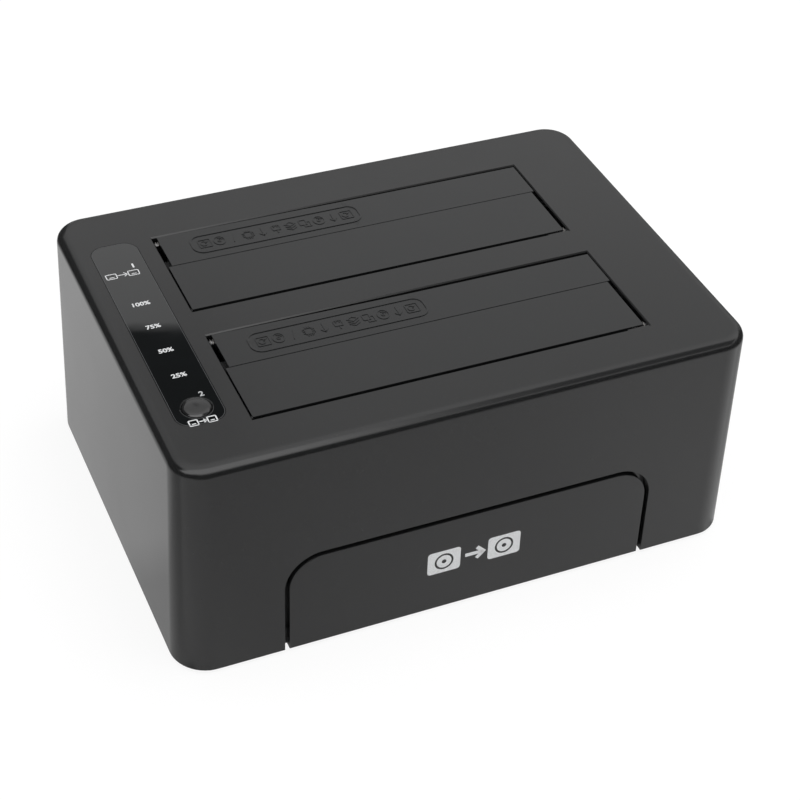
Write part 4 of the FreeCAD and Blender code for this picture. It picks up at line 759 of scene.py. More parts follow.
figures = bmesh.new()
for words, figureY in gauge["rows"]:
    share = 1 if words == "100%" else labelPrint["shortShare"]
    addWords(figures, words, (gauge["x"], figureY),
             (labelPrint["figure"][0] * share, labelPrint["figure"][1]), *inkLayer,
             labelPrint["figureWeight"])
addWords(figures, "1", sourceSign["number"], labelPrint["numeral"], *inkLayer,
         labelPrint["numeralWeight"])
for look in (sourceSign, copyingSign):
    addDriveToDrive(figures, look)
pieceFrom(figures, "label_figures", "casing", whiteInk)
secondNumeral = bmesh.new()
addWords(secondNumeral, "2", copyingSign["number"], labelPrint["numeral"], *inkLayer,
         labelPrint["figureWeight"])
pieceFrom(secondNumeral, "target_numeral", "casing", greyInk)
# painted highlight: a thin grey line round the label, standing for the light its rolled edge
# catches
border = bmesh.new()
addStroke(border, boxOutline(labelMiddle, inward(labelHalf, borderLook["inset"]),
                             labelLook["corner"] - borderLook["inset"], labelLook["cornerSteps"]),
          borderLook["line"], *inkLayer, True)
pieceFrom(border, "label_border", "casing", paintedEdgeHighlight)


# button: a nearly flat middle, a broad rolled edge, and the flange that holds it under the cover

flat = buttonRadius * buttonLook["flatShare"]
startTilt, endTilt = (math.radians(tilt) for tilt in buttonLook["rollTilts"])
flatDrop = flat * math.tan(startTilt / 2)
roll = (buttonRadius - flat) / (math.sin(endTilt) - math.sin(startTilt))
flatShares = [step / buttonLook["flatSteps"] for step in range(buttonLook["flatSteps"])]
crown = [(flat * share, buttonLook["rise"] - flatDrop * share ** 2) for share in flatShares]
for step in range(buttonLook["rollSteps"] + 1):
    tilt = startTilt + (endTilt - startTilt) * step / buttonLook["rollSteps"]
    crown.append((flat + roll * (math.sin(tilt) - math.sin(startTilt)),
                  buttonLook["rise"] - flatDrop - roll * (math.cos(startTilt) - math.cos(tilt))))
crown += [(buttonRadius, -buttonLook["flangeTop"]), (0, -buttonLook["flangeTop"])]
button = bmesh.new()
addTurned(button, crown, buttonSeat, steps=72)
flange, flangeTop = buttonLook["flange"], labelHigh.z - buttonLook["flangeTop"]
addBlock(button, (buttonMiddle.x - flange, buttonMiddle.y - flange,
                  flangeTop - buttonLook["flangeThickness"]),
         (buttonMiddle.x + flange, buttonMiddle.y + flange, flangeTop), buttonLook["flangeSoft"])
standIn(button, "clone_button", "button_cap")
print("label and button made")


# hinges: round pins and torsion springs wound from round wire

springLook = {"wire": 0.26, "coil": 0.97, "turns": 6, "steps": 18, "leg": 6.0, "under": -0.10,
              "wallGap": {"narrow": 1.45, "wide": 1.95}}
pinLook = {"chamfer": 0.2, "steps": 24}


def springPath(line, fixedX, freeX, side, wall):
    # free leg under the flap, the coil, then the leg down the bay's wall
    coil = springLook["coil"]
    count = springLook["turns"] * springLook["steps"]
    path = [(freeX, line.y + side * springLook["leg"], line.z + springLook["under"])]
    for step in range(count + 1):
        turn = 2 * math.pi * step / springLook["steps"]
        path.append((freeX + (fixedX - freeX) * step / count, line.y - side * coil * math.sin(turn),
                     line.z - coil * math.cos(turn)))
    path += [(fixedX, line.y - side * wall, line.z - coil - springLook["wire"]),
             (fixedX, line.y - side * wall, line.z - springLook["leg"])]
    return path


def makeHinge(hinge, side, wall):
    low, high = extent(hinge + "_hinge_pin")
    line, half = middleOf(low, high)
    radius, length, chamfer = half.z, high.x - low.x, pinLook["chamfer"]
    pin = bmesh.new()
    addTurned(pin, [(0, 0), (radius - chamfer, 0), (radius, chamfer), (radius, length - chamfer),
                    (radius - chamfer, length), (0, length)], (low.x, line.y, line.z), "x",
              pinLook["steps"])
    standIn(pin, hinge + "_hinge_pin", hinge + "_pin")
    coilLow, coilHigh = extent(hinge + "_spring")
    ends = [coilLow.x + springLook["wire"] / 2, coilHigh.x - springLook["wire"] / 2]
    fixedX, freeX = ends if side < 0 else ends[::-1]
    spring = bmesh.new()
    addWire(spring, springPath(line, fixedX, freeX, side, wall), springLook["wire"] / 2)
    piece = fitted(spring, hinge + "_coil", "spring_steel", None)
    fixedX * mm
    freeX * mm
    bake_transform(piece)
    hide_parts(hinge + "_spring")


for bay in ("rear", "front"):
    for kind, side in (("narrow", -1), ("wide", 1)):
        makeHinge(f"{bay}_{kind}", side, springLook["wallGap"][kind])
print("hinges made")


# the front sign: two drives and an arrow, printed white on the sloping front panel

frontSign = {"middle": (0.6, 16.6), "size": (9.0, 7.2), "spread": 8.3, "line": 1.1,
             "arrow": (5.0, 4.6), "corner": 0.12, "window": 0.36, "platter": 0.78, "spindle": 0.25,
             "steps": 28, "sink": 0.01, "rise": 0.015}


def addSolidDrive(bm, centre, look):
    # a filled drive: case with a round window, the platter in it and the spindle's hole
    width, height = look["size"]
    window = height * look["window"]
    layer, steps = (-look["sink"], look["rise"]), look["steps"]
    addSlab(bm, boxOutline(centre, (width / 2, height / 2), height * look["corner"], 3), *layer,
            holes=[roundOutline(centre, window, steps)])
    addSlab(bm, roundOutline(centre, window * look["platter"], steps), *layer,
            holes=[roundOutline(centre, window * look["spindle"], steps // 2)])


apronSign = bmesh.new()
for side in (-1, 1):
    addSolidDrive(apronSign, (side * frontSign["spread"], 0), frontSign)
addSign(apronSign, rightArrow, (0, 0), frontSign["arrow"], frontSign["line"], -frontSign["sink"],
        frontSign["rise"])
leanTurn = Matrix.Rotation(math.pi / 2 - math.atan(caseLean), 3, "X")
bmesh.ops.rotate(apronSign, cent=(0, 0, 0), matrix=leanTurn, verts=apronSign.verts[:])
signX, signZ = frontSign["middle"]
bmesh.ops.translate(apronSign, vec=(signX, frontSkinAt(signZ), signZ), verts=apronSign.verts[:])
pieceFrom(apronSign, "front_sign", "casing", whiteInk)
print("front sign made")


# interior: everything below is placed by the boxes of the CAD node's separate solids

def islands(name):
    # the boxes of a node's separate solids, from the front left onwards
    bm = bmesh.new()
    bm.from_mesh(nodes[name].data)
    bmesh.ops.remove_doubles(bm, verts=bm.verts[:], dist=2 * touching * mm)
    waiting = set(bm.verts)
    boxes = []
    while waiting:
        group = [waiting.pop()]
        for corner in group:
            linked = {edge.other_vert(corner) for edge in corner.link_edges} & waiting
            waiting -= linked
            group.extend(linked)
        spots = [corner.co / mm for corner in group]
        boxes.append((Vector([min(spot[axis] for spot in spots) for axis in range(3)]),
                      Vector([max(spot[axis] for spot in spots) for axis in range(3)])))
    bm.free()
    return sorted(boxes, key=lambda box: (round(box[0].y, 2), round(box[0].x, 2), box[0].z))


def addBentStrip(bm, path, thickness, low, high, facing):
    # a strip of sheet bent along an upright line, reaching from low to high along x or along y
    outline = (offsetLine(path, thickness / 2, False)
               + offsetLine(path, -thickness / 2, False)[::-1])
    if facing == "x":
        corners = addSlab(bm, outline, low, high)
        turn = Matrix(((0, 0, 1), (1, 0, 0), (0, 1, 0)))
    else:
        corners = addSlab(bm, outline, -high, -low)
        turn = Matrix.Rotation(math.radians(90), 3, "X")
    bmesh.ops.rotate(bm, cent=(0, 0, 0), matrix=turn, verts=corners)


bayLook = {"wellSoft": 0.2, "socketSoft": 0.12}
for bay in ("rear", "front"):
    dress(f"{bay}_bay_well", bayLook["wellSoft"])
    dress(f"{bay}_drive_socket", bayLook["socketSoft"])

contactLook = {"thickness": 0.09, "bow": 0.2, "steps": 8, "bowFrom": 0.15, "bowSpan": 0.8,
               "tipLean": 0.03}
for bay in ("rear", "front"):
    contacts = bmesh.new()
    for low, high in islands(f"{bay}_socket_contacts"):
        back = high.y - contactLook["thickness"] / 2
        path = [(back, low.z)]
        for step in range(contactLook["steps"] + 1):
            share = step / contactLook["steps"]
            height = contactLook["bowFrom"] + contactLook["bowSpan"] * share
            path.append((back - contactLook["bow"] * math.sin(math.pi * share) ** 2,
                         low.z + (high.z - low.z) * height))
        path.append((back - contactLook["tipLean"], high.z))
        addBentStrip(contacts, path, contactLook["thickness"], low.x, high.x, "x")
    standIn(contacts, f"{bay}_socket_contacts", f"{bay}_contact_springs", smoothAngle=50)
print("wells and sockets made")


# screws: pan heads with a cross recess, shanks with a fine thread

screwLook = {"recess": 0.55, "slot": 0.28, "headRound": 0.35, "threadPitch": 0.55, "thread": 0.16,
             "faceShare": 0.5, "shank": 0.46, "tip": 0.7, "threadFrom": 0.2, "threadEnd": 0.3,
             "neck": 0.05, "roundLimit": 0.9, "steps": 24}
screwKinds = {"case_screws": (2.0, False), "well_screws": (1.3, False),
              "light_board_screws": (1.3, False), "board_screws": (1.3, True)}


def crossOutline(reach, half):
    turns = (Matrix.Rotation(math.radians(90 * number), 2) for number in range(4))
    return [tuple(turn @ Vector(point)) for turn in turns
            for point in ((reach, -half), (reach, half), (half, half))]


def addScrew(bm, box, headHeight, headUp):
    # fills the box of one screw; its head is at the top or at the bottom of the box
    low, high = box
    centre, half = middleOf(low, high)
    head = min(half.x, half.y) - near
    shank = head * screwLook["shank"]
    root = shank - screwLook["thread"]
    pitch = screwLook["threadPitch"]
    length = high.z - low.z - headHeight
    layer = headHeight * screwLook["faceShare"]
    profile = [(0, -length), (shank * screwLook["tip"], -length)]
    for ring in range(int((length - screwLook["threadEnd"]) / pitch)):
        height = ring * pitch + screwLook["threadFrom"] - length
        profile += [(root, height), (shank, height + pitch / 2)]
    profile += [(root, -screwLook["neck"]), (root, 0), (head, 0), (head, headHeight - layer),
                (0, headHeight - layer)]
    before = set(bm.verts)
    addTurned(bm, profile, (0, 0, 0), steps=screwLook["steps"])
    cross = crossOutline(head * screwLook["recess"], head * screwLook["slot"] / 2)
    face = set(addSlab(bm, roundOutline((0, 0), head, screwLook["steps"]), headHeight - layer,
                       headHeight, holes=[cross]))
    rim = [edge for edge in bm.edges if all(
        corner in face and corner.co.z > headHeight - near and corner.co.xy.length > head - near
        for corner in edge.verts)]
    roundEdges(bm, rim, min(screwLook["headRound"], layer * screwLook["roundLimit"]), 3)
    made = madeSince(bm, before)
    if not headUp:
        bmesh.ops.rotate(bm, cent=(0, 0, 0), matrix=Matrix.Rotation(math.pi, 3, "X"), verts=made)
    seat = high.z - headHeight if headUp else low.z + headHeight
    bmesh.ops.translate(bm, vec=(centre.x, centre.y, seat), verts=made)


for name, (headHeight, headUp) in screwKinds.items():
    screws = bmesh.new()
    for box in islands(name):
        addScrew(screws, box, headHeight, headUp)
    standIn(screws, name, name + "_turned")
print("screws made")


# feet: rubber pads with a ribbed tread

footLook = {"tread": 0.45, "ribs": 4, "ribShare": 0.55, "soft": 0.35, "ribRoot": 0.3,
            "ribSoft": 0.12}
feet = bmesh.new()
for low, high in islands("rubber_feet"):
    padLow, soft = low.z + footLook["tread"], footLook["soft"]
    addBlock(feet, (low.x, low.y, padLow), high, soft)
    pitch = (high.x - low.x - 2 * soft) / footLook["ribs"]
    for rib in range(footLook["ribs"]):
        ribX = low.x + soft + pitch * (rib + 0.5)
        half = pitch * footLook["ribShare"] / 2
        addBlock(feet, (ribX - half, low.y + soft, low.z),
                 (ribX + half, high.y - soft, padLow + footLook["ribRoot"]), footLook["ribSoft"])
standIn(feet, "rubber_feet", "foot_pads")
print("feet made")


# boards: laminate with drilled holes, solder lands, printed outlines and what is fitted on them

boardLook = {"hole": 1.15, "land": 2.1, "landRise": 0.03, "corner": 1.2, "sink": 0.02,
             "steps": 28, "printWidth": 0.15, "printGap": 0.5, "printRise": 0.02,
             "printRing": (0.6, 0.45)}


def addRing(bm, centre, outer, inner, low, high):
    rim, hole = (roundOutline(centre, radius, boardLook["steps"]) for radius in (outer, inner))
    addSlab(bm, rim, low, high, holes=[hole])


for name, screws in (("main_board", "board_screws"), ("light_board", "light_board_screws")):
    low, high = extent(name)
    holes = [middleOf(*box)[0] for box in islands(screws)]
    board = bmesh.new()
    addSlab(board, boxOutline(*middleOf(low, high), boardLook["corner"], 5), low.z, high.z,
            holes=[roundOutline(place, boardLook["hole"], boardLook["steps"]) for place in holes])
    standIn(board, name, name + "_laminate")
    lands = bmesh.new()
    for place in holes:
        addRing(lands, place, boardLook["land"], boardLook["hole"], high.z - boardLook["sink"],
                high.z + boardLook["landRise"])
    fitted(lands, name + "_lands", "contact_gold")

boardLow, boardHigh = extent("main_board")
gap = boardLook["printGap"]
printLayer = (boardHigh.z - boardLook["sink"], boardHigh.z + boardLook["printRise"])
prints = bmesh.new()
for name in ("bridge_chip", "memory_chip", "clock_crystal", "power_jack", "usb_port_shell",
             "main_board_header"):
    low, high = extent(name)
    left, right, front = low.x - gap, high.x + gap, low.y - gap
    rear = min(high.y + gap, boardHigh.y - gap)
    if left >= boardLow.x + gap:
        addStroke(prints, [(left, front), (right, front), (right, rear), (left, rear)],
                  boardLook["printWidth"], *printLayer, True)
for name in ("power_coils", "smoothing_capacitors"):
    for low, high in islands(name):
        centre, half = middleOf(low, high)
        outer, inner = (half.x + reach for reach in boardLook["printRing"])
        addRing(prints, centre, outer, inner, *printLayer)
pieceFrom(prints, "board_print", "casing", whiteInk)
print("boards made")


# chips: bodies with a rolled edge and a corner dot, and bent legs

chipLook = {"legReach": 0.8, "legWidth": 0.32, "legThickness": 0.14, "legRoot": 0.1,
            "legBends": (0.72, 0.5), "stand": 0.12, "drop": 0.04, "soft": 0.1, "dot": 0.5,
            "dotLine": 0.16, "dotInset": 1.1, "dotRoot": 0.1}
chipLegs = {"bridge_chip": ((0, 1), 12, 0.8), "memory_chip": ((1,), 4, 1.1)}  # axes, count, pitch


def addLegs(bm, box, axis, side, count, pitch):
    # gull-wing legs out of one side of a chip, along x or y: down and out on to the board
    low, high = box
    reach, thickness = chipLook["legReach"], chipLook["legThickness"]
    half = chipLook["legWidth"] / 2
    edge = (high if side > 0 else low)[axis]
    foot = low.z + thickness / 2
    shoulder = (low.z + high.z) / 2
    upper, lower = (edge - side * reach * share for share in chipLook["legBends"])
    path = [(edge - side * (reach + chipLook["legRoot"]), shoulder), (upper, shoulder),
            (lower, foot), (edge, foot)]
    across = 1 - axis
    for number in range(count):
        place = (low[across] + high[across]) / 2 + (number - (count - 1) / 2) * pitch
        addBentStrip(bm, path, thickness, place - half, place + half, "xy"[across])


def makeChip(name, axes, count, pitch):
    low, high = extent(name)
    insetX, insetY = (chipLook["legReach"] * (axis in axes) for axis in range(2))
    left, front, dot = low.x + insetX, low.y + insetY, chipLook["dotInset"]
    body = bmesh.new()
    addBlock(body, (left, front, low.z + chipLook["stand"]),
             (high.x - insetX, high.y - insetY, high.z - chipLook["drop"]), chipLook["soft"], 1)
    addRing(body, (left + dot, front + dot), chipLook["dot"], chipLook["dot"] - chipLook["dotLine"],
            high.z - chipLook["dotRoot"], high.z)
    standIn(body, name, name + "_body")
    legs = bmesh.new()
    for axis in axes:
        for side in (-1, 1):
            addLegs(legs, (low, high), axis, side, count, pitch)
    fitted(legs, name + "_legs", "plated_steel")


for name, legs in chipLegs.items():
    makeChip(name, *legs)


# crystal and lights: a narrower block on a base; coils and capacitors: turned bodies

crystalLook = {"base": 0.7, "baseSoft": 0.1, "inset": 0.3, "from": 0.6, "drop": 0.0, "soft": 0.2,
               "segments": 2}
lightLook = {"base": 0.8, "baseSoft": 0.12, "inset": 0.2, "from": 0.6, "drop": 0.1, "soft": 0.35,
             "segments": 3}
coilLook = {"corner": 0.35, "base": 0.25, "top": 0.22, "waist": 0.86, "waistGap": 0.1, "steps": 40}
capacitorLook = {"inset": 0.15, "groove": 0.25, "grooveRise": 1.6, "crown": 0.45, "crownCut": 0.15,
                 "dish": 0.12, "dishShare": 0.5, "markInset": 0.55, "markArc": (120, 240, 14),
                 "markLayer": (0.14, 0.005)}


def addStepped(bm, box, look):
    low, high = box
    inset = look["inset"]
    addBlock(bm, low, (high.x, high.y, low.z + look["base"]), look["baseSoft"])
    addBlock(bm, (low.x + inset, low.y + inset, low.z + look["from"]),
             (high.x - inset, high.y - inset, high.z - look["drop"]), look["soft"],
             look["segments"])


def canProfile(can, rise):
    # up a capacitor's side, with the rolled groove, over the crown and on to the dished top
    groove, seat = capacitorLook["groove"], capacitorLook["grooveRise"]
    crown, cut = capacitorLook["crown"], capacitorLook["crownCut"]
    dish = rise - capacitorLook["dish"]
    return [(0, 0), (can, 0), (can, seat - groove), (can - groove, seat), (can, seat + groove),
            (can, rise - crown), (can - cut, rise - cut), (can - crown, rise),
            (can * capacitorLook["dishShare"], dish), (0, dish)]


crystal = bmesh.new()
addStepped(crystal, extent("clock_crystal"), crystalLook)
standIn(crystal, "clock_crystal", "crystal_can")

coilBodies = bmesh.new()
for low, high in islands("power_coils"):
    centre, half = middleOf(low, high)
    reach, rise = half.x, high.z - low.z
    waist, waistRise = reach * coilLook["waist"], rise - 2 * coilLook["waistGap"]
    octagon = boxOutline(centre, (reach, reach), reach * coilLook["corner"], 2)
    addSlab(coilBodies, octagon, low.z, low.z + rise * coilLook["base"])
    addSlab(coilBodies, octagon, high.z - rise * coilLook["top"], high.z)
    addTurned(coilBodies, [(0, 0), (waist, 0), (waist, waistRise), (0, waistRise)],
              (centre.x, centre.y, low.z + coilLook["waistGap"]), steps=coilLook["steps"])
standIn(coilBodies, "power_coils", "coil_cases")

cans = bmesh.new()
canMarks = bmesh.new()
for low, high in islands("smoothing_capacitors"):
    centre, half = middleOf(low, high)
    can = half.x - capacitorLook["inset"]
    addTurned(cans, canProfile(can, high.z - low.z), (centre.x, centre.y, low.z))
    mark = arcPoints(can - capacitorLook["markInset"], *capacitorLook["markArc"], centre)
    addSlab(canMarks, mark, *(high.z - depth for depth in capacitorLook["markLayer"]))
standIn(cans, "smoothing_capacitors", "capacitor_cans")
fitted(canMarks, "capacitor_marks", "chip_plastic")

lights = bmesh.new()
for box in islands("status_lights"):
    addStepped(lights, box, lightLook)
standIn(lights, "status_lights", "light_lenses")


# headers and the ribbon lead between the boards

headerLook = {"wall": 0.45, "ways": 7, "pitch": 1.0, "slotHalf": 0.31, "shroud": 2.4, "corner": 0.3}
leadLook = {"straight": 4.0, "bend": 8.0, "steps": 26, "ways": 7, "wire": 0.44, "web": 0.4,
            "webInset": 0.3}
for name, opensUp in (("light_board_header", False), ("main_board_header", True)):
    low, high = extent(name)
    centre, half = middleOf(low, high)
    split = high.z - headerLook["shroud"] if opensUp else low.z + headerLook["shroud"]
    layers = [(low.z, split), (split, high.z)]
    block, shroud = layers if opensUp else layers[::-1]
    outline = boxOutline(centre, half, headerLook["corner"], 2)
    slotHalf = (half.x - headerLook["wall"], headerLook["slotHalf"])
    wayPlaces = ((way - (headerLook["ways"] - 1) / 2) * headerLook["pitch"]
                 for way in range(headerLook["ways"]))
    header = bmesh.new()
    addSlab(header, outline, *block)
    addSlab(header, outline, *shroud,
            holes=[boxOutline((centre.x, centre.y + place), slotHalf) for place in wayPlaces])
    standIn(header, name, name + "_housing")

leadLow, leadHigh = extent("ribbon_lead")
upperX, lowerX = (middleOf(*extent(name))[0].x for name in ("light_board_header",
                                                            "main_board_header"))
straight, bend = leadLook["straight"], leadLook["bend"]
poles = [Vector((upperX, leadHigh.z - straight)), Vector((upperX, leadHigh.z - straight - bend)),
         Vector((lowerX, leadLow.z + straight + bend)), Vector((lowerX, leadLow.z + straight))]
leadPath = [(upperX, leadHigh.z)]
for step in range(leadLook["steps"] + 1):  # a curve drawn by four poles
    share = step / leadLook["steps"]
    rest = 1 - share
    pulls = (rest ** 3, 3 * rest ** 2 * share, 3 * rest * share ** 2, share ** 3)
    leadPath.append(tuple(sum((pole * pull for pole, pull in zip(poles, pulls)), Vector((0, 0)))))
leadPath.append((lowerX, leadLow.z))
lead = bmesh.new()
wayWidth = (leadHigh.y - leadLow.y) / leadLook["ways"]
for way in range(leadLook["ways"]):
    wayY = leadLow.y + wayWidth * (way + 0.5)
    addWire(lead, [(x, wayY, z) for x, z in leadPath], leadLook["wire"])
addBentStrip(lead, leadPath, leadLook["web"], leadLow.y + leadLook["webInset"],
             leadHigh.y - leadLook["webInset"], "y")
standIn(lead, "ribbon_lead", "ribbon_wires", smoothAngle=60)
print("board parts made")


# press switch under the button: base, body and a steel plate round the plunger

pressLook = {"base": 1.0, "corner": 0.4, "plateCorner": 0.5, "hole": 1.85, "bodyInset": 0.1,
             "plateInset": 0.15, "bodyDrop": 0.25, "plateDepth": 0.27, "plungerCut": 0.2}
low, high = extent("press_switch")
centre, half = middleOf(low, high)
plungerHole = [roundOutline(centre, pressLook["hole"], 40)]
bodyRim = boxOutline(centre, inward(half, pressLook["bodyInset"]), pressLook["corner"], 3)
plateRim = boxOutline(centre, inward(half, pressLook["plateInset"]), pressLook["plateCorner"], 3)
shoulder = low.z + pressLook["base"]
pressSwitch = bmesh.new()
addSlab(pressSwitch, boxOutline(centre, half, pressLook["corner"], 3), low.z, shoulder)
addSlab(pressSwitch, bodyRim, shoulder, high.z - pressLook["bodyDrop"], plungerHole)
standIn(pressSwitch, "press_switch", "press_switch_case")
plate = bmesh.new()
addSlab(plate, plateRim, high.z - pressLook["plateDepth"], high.z, plungerHole)
fitted(plate, "press_switch_plate", "plated_steel")
low, high = extent("press_switch_plunger")
centre, half = middleOf(low, high)
radius, length, cut = min(half.x, half.y) - near, high.z - low.z, pressLook["plungerCut"]
plunger = bmesh.new()
addTurned(plunger, [(0, 0), (radius, 0), (radius, length - cut), (radius - cut, length),
                    (0, length)], (centre.x, centre.y, low.z), steps=40)
standIn(plunger, "press_switch_plunger", "plunger_stem")


# rear ports: the data port's shell and tongues, the power inlet, the rocker switch

portSoft = {"usb_port_shell": 0.18, "usb_port_tongues": 0.1, "power_jack": 0.25,
            "power_switch_body": 0.15, "power_switch_legs": 0.08, "power_switch_rocker": 0.2}
portLook = {"contacts": 4, "pitch": 1.1, "width": 0.6, "sink": 0.02, "rise": 0.05,
            "tongueTop": 3.1, "setBack": 1.0, "reach": 7.5}
jackTip = ((1, 0.7), (0.85, 0.3), (0.5, 0.05))  # shares of the radius, each this far from the tip

dress("usb_port_shell", portSoft["usb_port_shell"])
dress("usb_port_tongues", portSoft["usb_port_tongues"])
low, high = islands("usb_port_tongues")[0]
portContacts = bmesh.new()
for number in range(portLook["contacts"]):
    place = number - (portLook["contacts"] - 1) / 2
    contactX = (low.x + high.x) / 2 + place * portLook["pitch"]
    half = portLook["width"] / 2
    for face, side in ((low.z + portLook["tongueTop"], 1), (low.z, -1)):
        ends = sorted((face - portLook["sink"] * side, face + portLook["rise"] * side))
        addBlock(portContacts, (contactX - half, high.y - portLook["reach"], ends[0]),
                 (contactX + half, high.y - portLook["setBack"], ends[1]))
fitted(portContacts, "usb_port_contacts", "contact_gold")

dress("power_jack", portSoft["power_jack"])
low, high = extent("power_jack_pin")
centre, half = middleOf(low, high)
length = high.y - low.y
tip = [(half.z * share, length - back) for share, back in jackTip]
jackPin = bmesh.new()
addTurned(jackPin, [(0, 0), (half.z, 0), *tip, (0, length)], (centre.x, low.y, centre.z), "y", 36)
standIn(jackPin, "power_jack_pin", "power_jack_rod")

for name in ("power_switch_body", "power_switch_legs", "power_switch_rocker"):
    dress(name, portSoft[name])


# the rocker's marks: a bar on one half and a ring on the other, printed on its two sloping faces

rockerLook = {"tilt": 8.0, "horn": 0.7, "waist": 0.1, "length": 10.2, "face": 1.6,
              "pivot": (45.5, 52.55, 14.0), "mark": 0.42, "bar": 2.6, "ring": 1.25, "sink": 0.03,
              "rise": 0.02}
halfRocker, halfBar = rockerLook["length"] / 2, rockerLook["bar"] / 2
rockerSlope = math.atan((rockerLook["horn"] - rockerLook["waist"]) / halfRocker)
rockerSeat = (Matrix.Translation(rockerLook["pivot"])
              @ Matrix.Rotation(-math.radians(rockerLook["tilt"]), 4, "Z"))
upright = Matrix.Rotation(math.pi, 4, "Z") @ Matrix.Rotation(math.pi / 2, 4, "X")
rockerMarks = bmesh.new()
for side, mark in ((-1, [(0, -halfBar), (0, halfBar)]),
                   (1, roundOutline((0, 0), rockerLook["ring"], 32))):
    corners = addStroke(rockerMarks, mark, rockerLook["mark"], -rockerLook["sink"],
                        rockerLook["rise"], side > 0)
    markY = rockerLook["face"] + (rockerLook["horn"] + rockerLook["waist"]) / 2
    shift = Matrix.Translation((side * halfRocker / 2, markY, 0))
    lean = Matrix.Rotation(side * rockerSlope, 4, "Z")
    bmesh.ops.transform(rockerMarks, matrix=rockerSeat @ shift @ lean @ upright, verts=corners)
pieceFrom(rockerMarks, "rocker_marks", "power_rocker", whiteInk)
print("rear ports made")


# stage: white paper for the camera, and what only reflections see: lit paper, ceiling and cloths

paperLook = {
    "half": 3000.0, "paper": (0.86, 0.86, 0.86), "whiteShare": 0.82, "white": 1.07, "full": 2.0,
    "frontEdge": -48.0, "frontFade": 10.0, "sideFade": 25.0, "right": 0.59, "shadeEdge": 4.0,
    "acrossFrom": -80.0, "acrossSpan": 200.0,
    "across": ((0.0, 0.46), (0.15, 0.39), (0.40, 0.44), (0.60, 0.47), (0.80, 0.53), (1.0, 0.55)),
    "alongFrom": -60.0, "alongSpan": 180.0,
    "along": ((0.0, 0.27), (0.22, 0.28), (0.31, 0.36), (0.58, 0.39), (0.90, 0.445)),
    "litReach": 95.0, "litFade": 90.0, "farShare": 0.08,
}
ceilingLook = {
    "height": 1200.0, "left": -1280.0, "right": 3000.0, "front": -3000.0, "rear": 1900.0,
    "near": 0.91, "far": 1.16, "farFrom": 1300.0, "farSpan": 400.0, "over": 1.75,
    "overSpan": 1100.0, "cardMiddle": (338.0, 1325.0), "cardHalf": (36.0, 104.0),
    "cardFade": (10.0, 20.0), "cardSlant": 0.34, "cardShare": 0.91,
}
canopyLook = {
    "height": 500.0, "left": -1500.0, "right": 900.0, "front": -830.0, "rear": -190.0,
    "slant": 0.24, "from": 40.0, "span": 105.0, "bright": 3.3, "dim": 0.3,
}
backdropLook = {"rear": 1900.0, "left": 0.0, "right": 5000.0, "top": 1200.0, "level": 0.58}
skyLook = {"seen": 1.0, "ambient": 0.75, "gloss": 0.10}
lampLook = {"place": (250, -60, 1150), "aim": (0, 0, 30), "size": (700, 500), "power": 4}


def rayKind(tree, *names):  # 1 where the ray is of one of these kinds
    path = tree.tree.nodes.new("ShaderNodeLightPath")
    rays = [Signal(tree.tree, path.outputs[name]) for name in names]
    total = rays[0]
    for ray in rays[1:]:
        total = tree.calc("ADD", total, ray, clamp=True)
    return total


def mixShaders(tree, amount, first, second):
    return tree.add("ShaderNodeMixShader", None, {0: amount, 1: first, 2: second})


def glowShader(tree, strength):
    return tree.add("ShaderNodeEmission", None, {"Strength": strength})


def rising(tree, value, start, span):  # 0 below start, 1 from start + span upwards
    return tree.calc("MULTIPLY", value - start, 1 / span, clamp=True)


def away(tree, value):
    return tree.calc("ABSOLUTE", value)


def stagePiece(name, corners, material):
    bm = bmesh.new()
    bm.faces.new([bm.verts.new(Vector(corner) * mm) for corner in corners])
    linkMesh(bm, name, material)


def axesOf(tree):  # the x and y of the place, in millimetres
    place = atObject(tree)
    return [tree.add("ShaderNodeSeparateXYZ", None, {"Vector": place}, out=axis)
            for axis in range(2)]


def paperGlow(tree, look):
    # how bright each part of the paper is in a reflection: painted light and shade, varying across
    # the paper, dimmer far from the case and dark under it
    x, y = axesOf(tree)
    across = ramp(tree, rising(tree, x, look["acrossFrom"], look["acrossSpan"]), *look["across"])
    along = ramp(tree, rising(tree, y, look["alongFrom"], look["alongSpan"]), *look["along"])
    front = 1 - rising(tree, y, look["frontEdge"] - look["frontFade"], look["frontFade"])
    rightSide = rising(tree, x, 0.0, look["sideFade"])
    side = along + (look["right"] / look["full"] - along) * rightSide
    level = (across * front + side * (1 - front)) * look["full"]
    beyond = tree.calc("MAXIMUM", away(tree, x) - caseHigh.x, away(tree, y) - caseHigh.y)
    lit = 1 - (1 - look["farShare"]) * rising(tree, beyond, look["litReach"], look["litFade"])
    underCase = rising(tree, beyond, -look["shadeEdge"], look["shadeEdge"])  # painted shadow: the paper is dark under the case
    return level * lit * underCase


def makePaper(look):
    material, tree = newMaterial("paper")
    plain = tree.add("ShaderNodeBsdfDiffuse", None, {"Color": rgb(look["paper"])})
    glow = glowShader(tree, paperGlow(tree, look))
    mirrored = mixShaders(tree, rayKind(tree, "Is Glossy Ray"), plain, glow)
    shown = rayKind(tree, "Is Camera Ray", "Is Transmission Ray") * look["whiteShare"]
    surface = mixShaders(tree, shown, mirrored, glowShader(tree, look["white"]))
    tree.add("ShaderNodeOutputMaterial", None, {"Surface": surface})
    half = look["half"]
    stagePiece("floor", [(x * half, y * half, 0) for x, y in ((-1, -1), (1, -1), (1, 1), (-1, 1))],
               material)


def reflectedOnly(name, makeLevel):
    # a material that only glossy rays see; makeLevel turns its coordinates into a brightness
    material, tree = newMaterial(name)
    level = makeLevel(tree, *axesOf(tree))
    clear = tree.add("ShaderNodeBsdfTransparent")
    surface = mixShaders(tree, rayKind(tree, "Is Glossy Ray"), clear, glowShader(tree, level))
    tree.add("ShaderNodeOutputMaterial", None, {"Surface": surface})
    return material


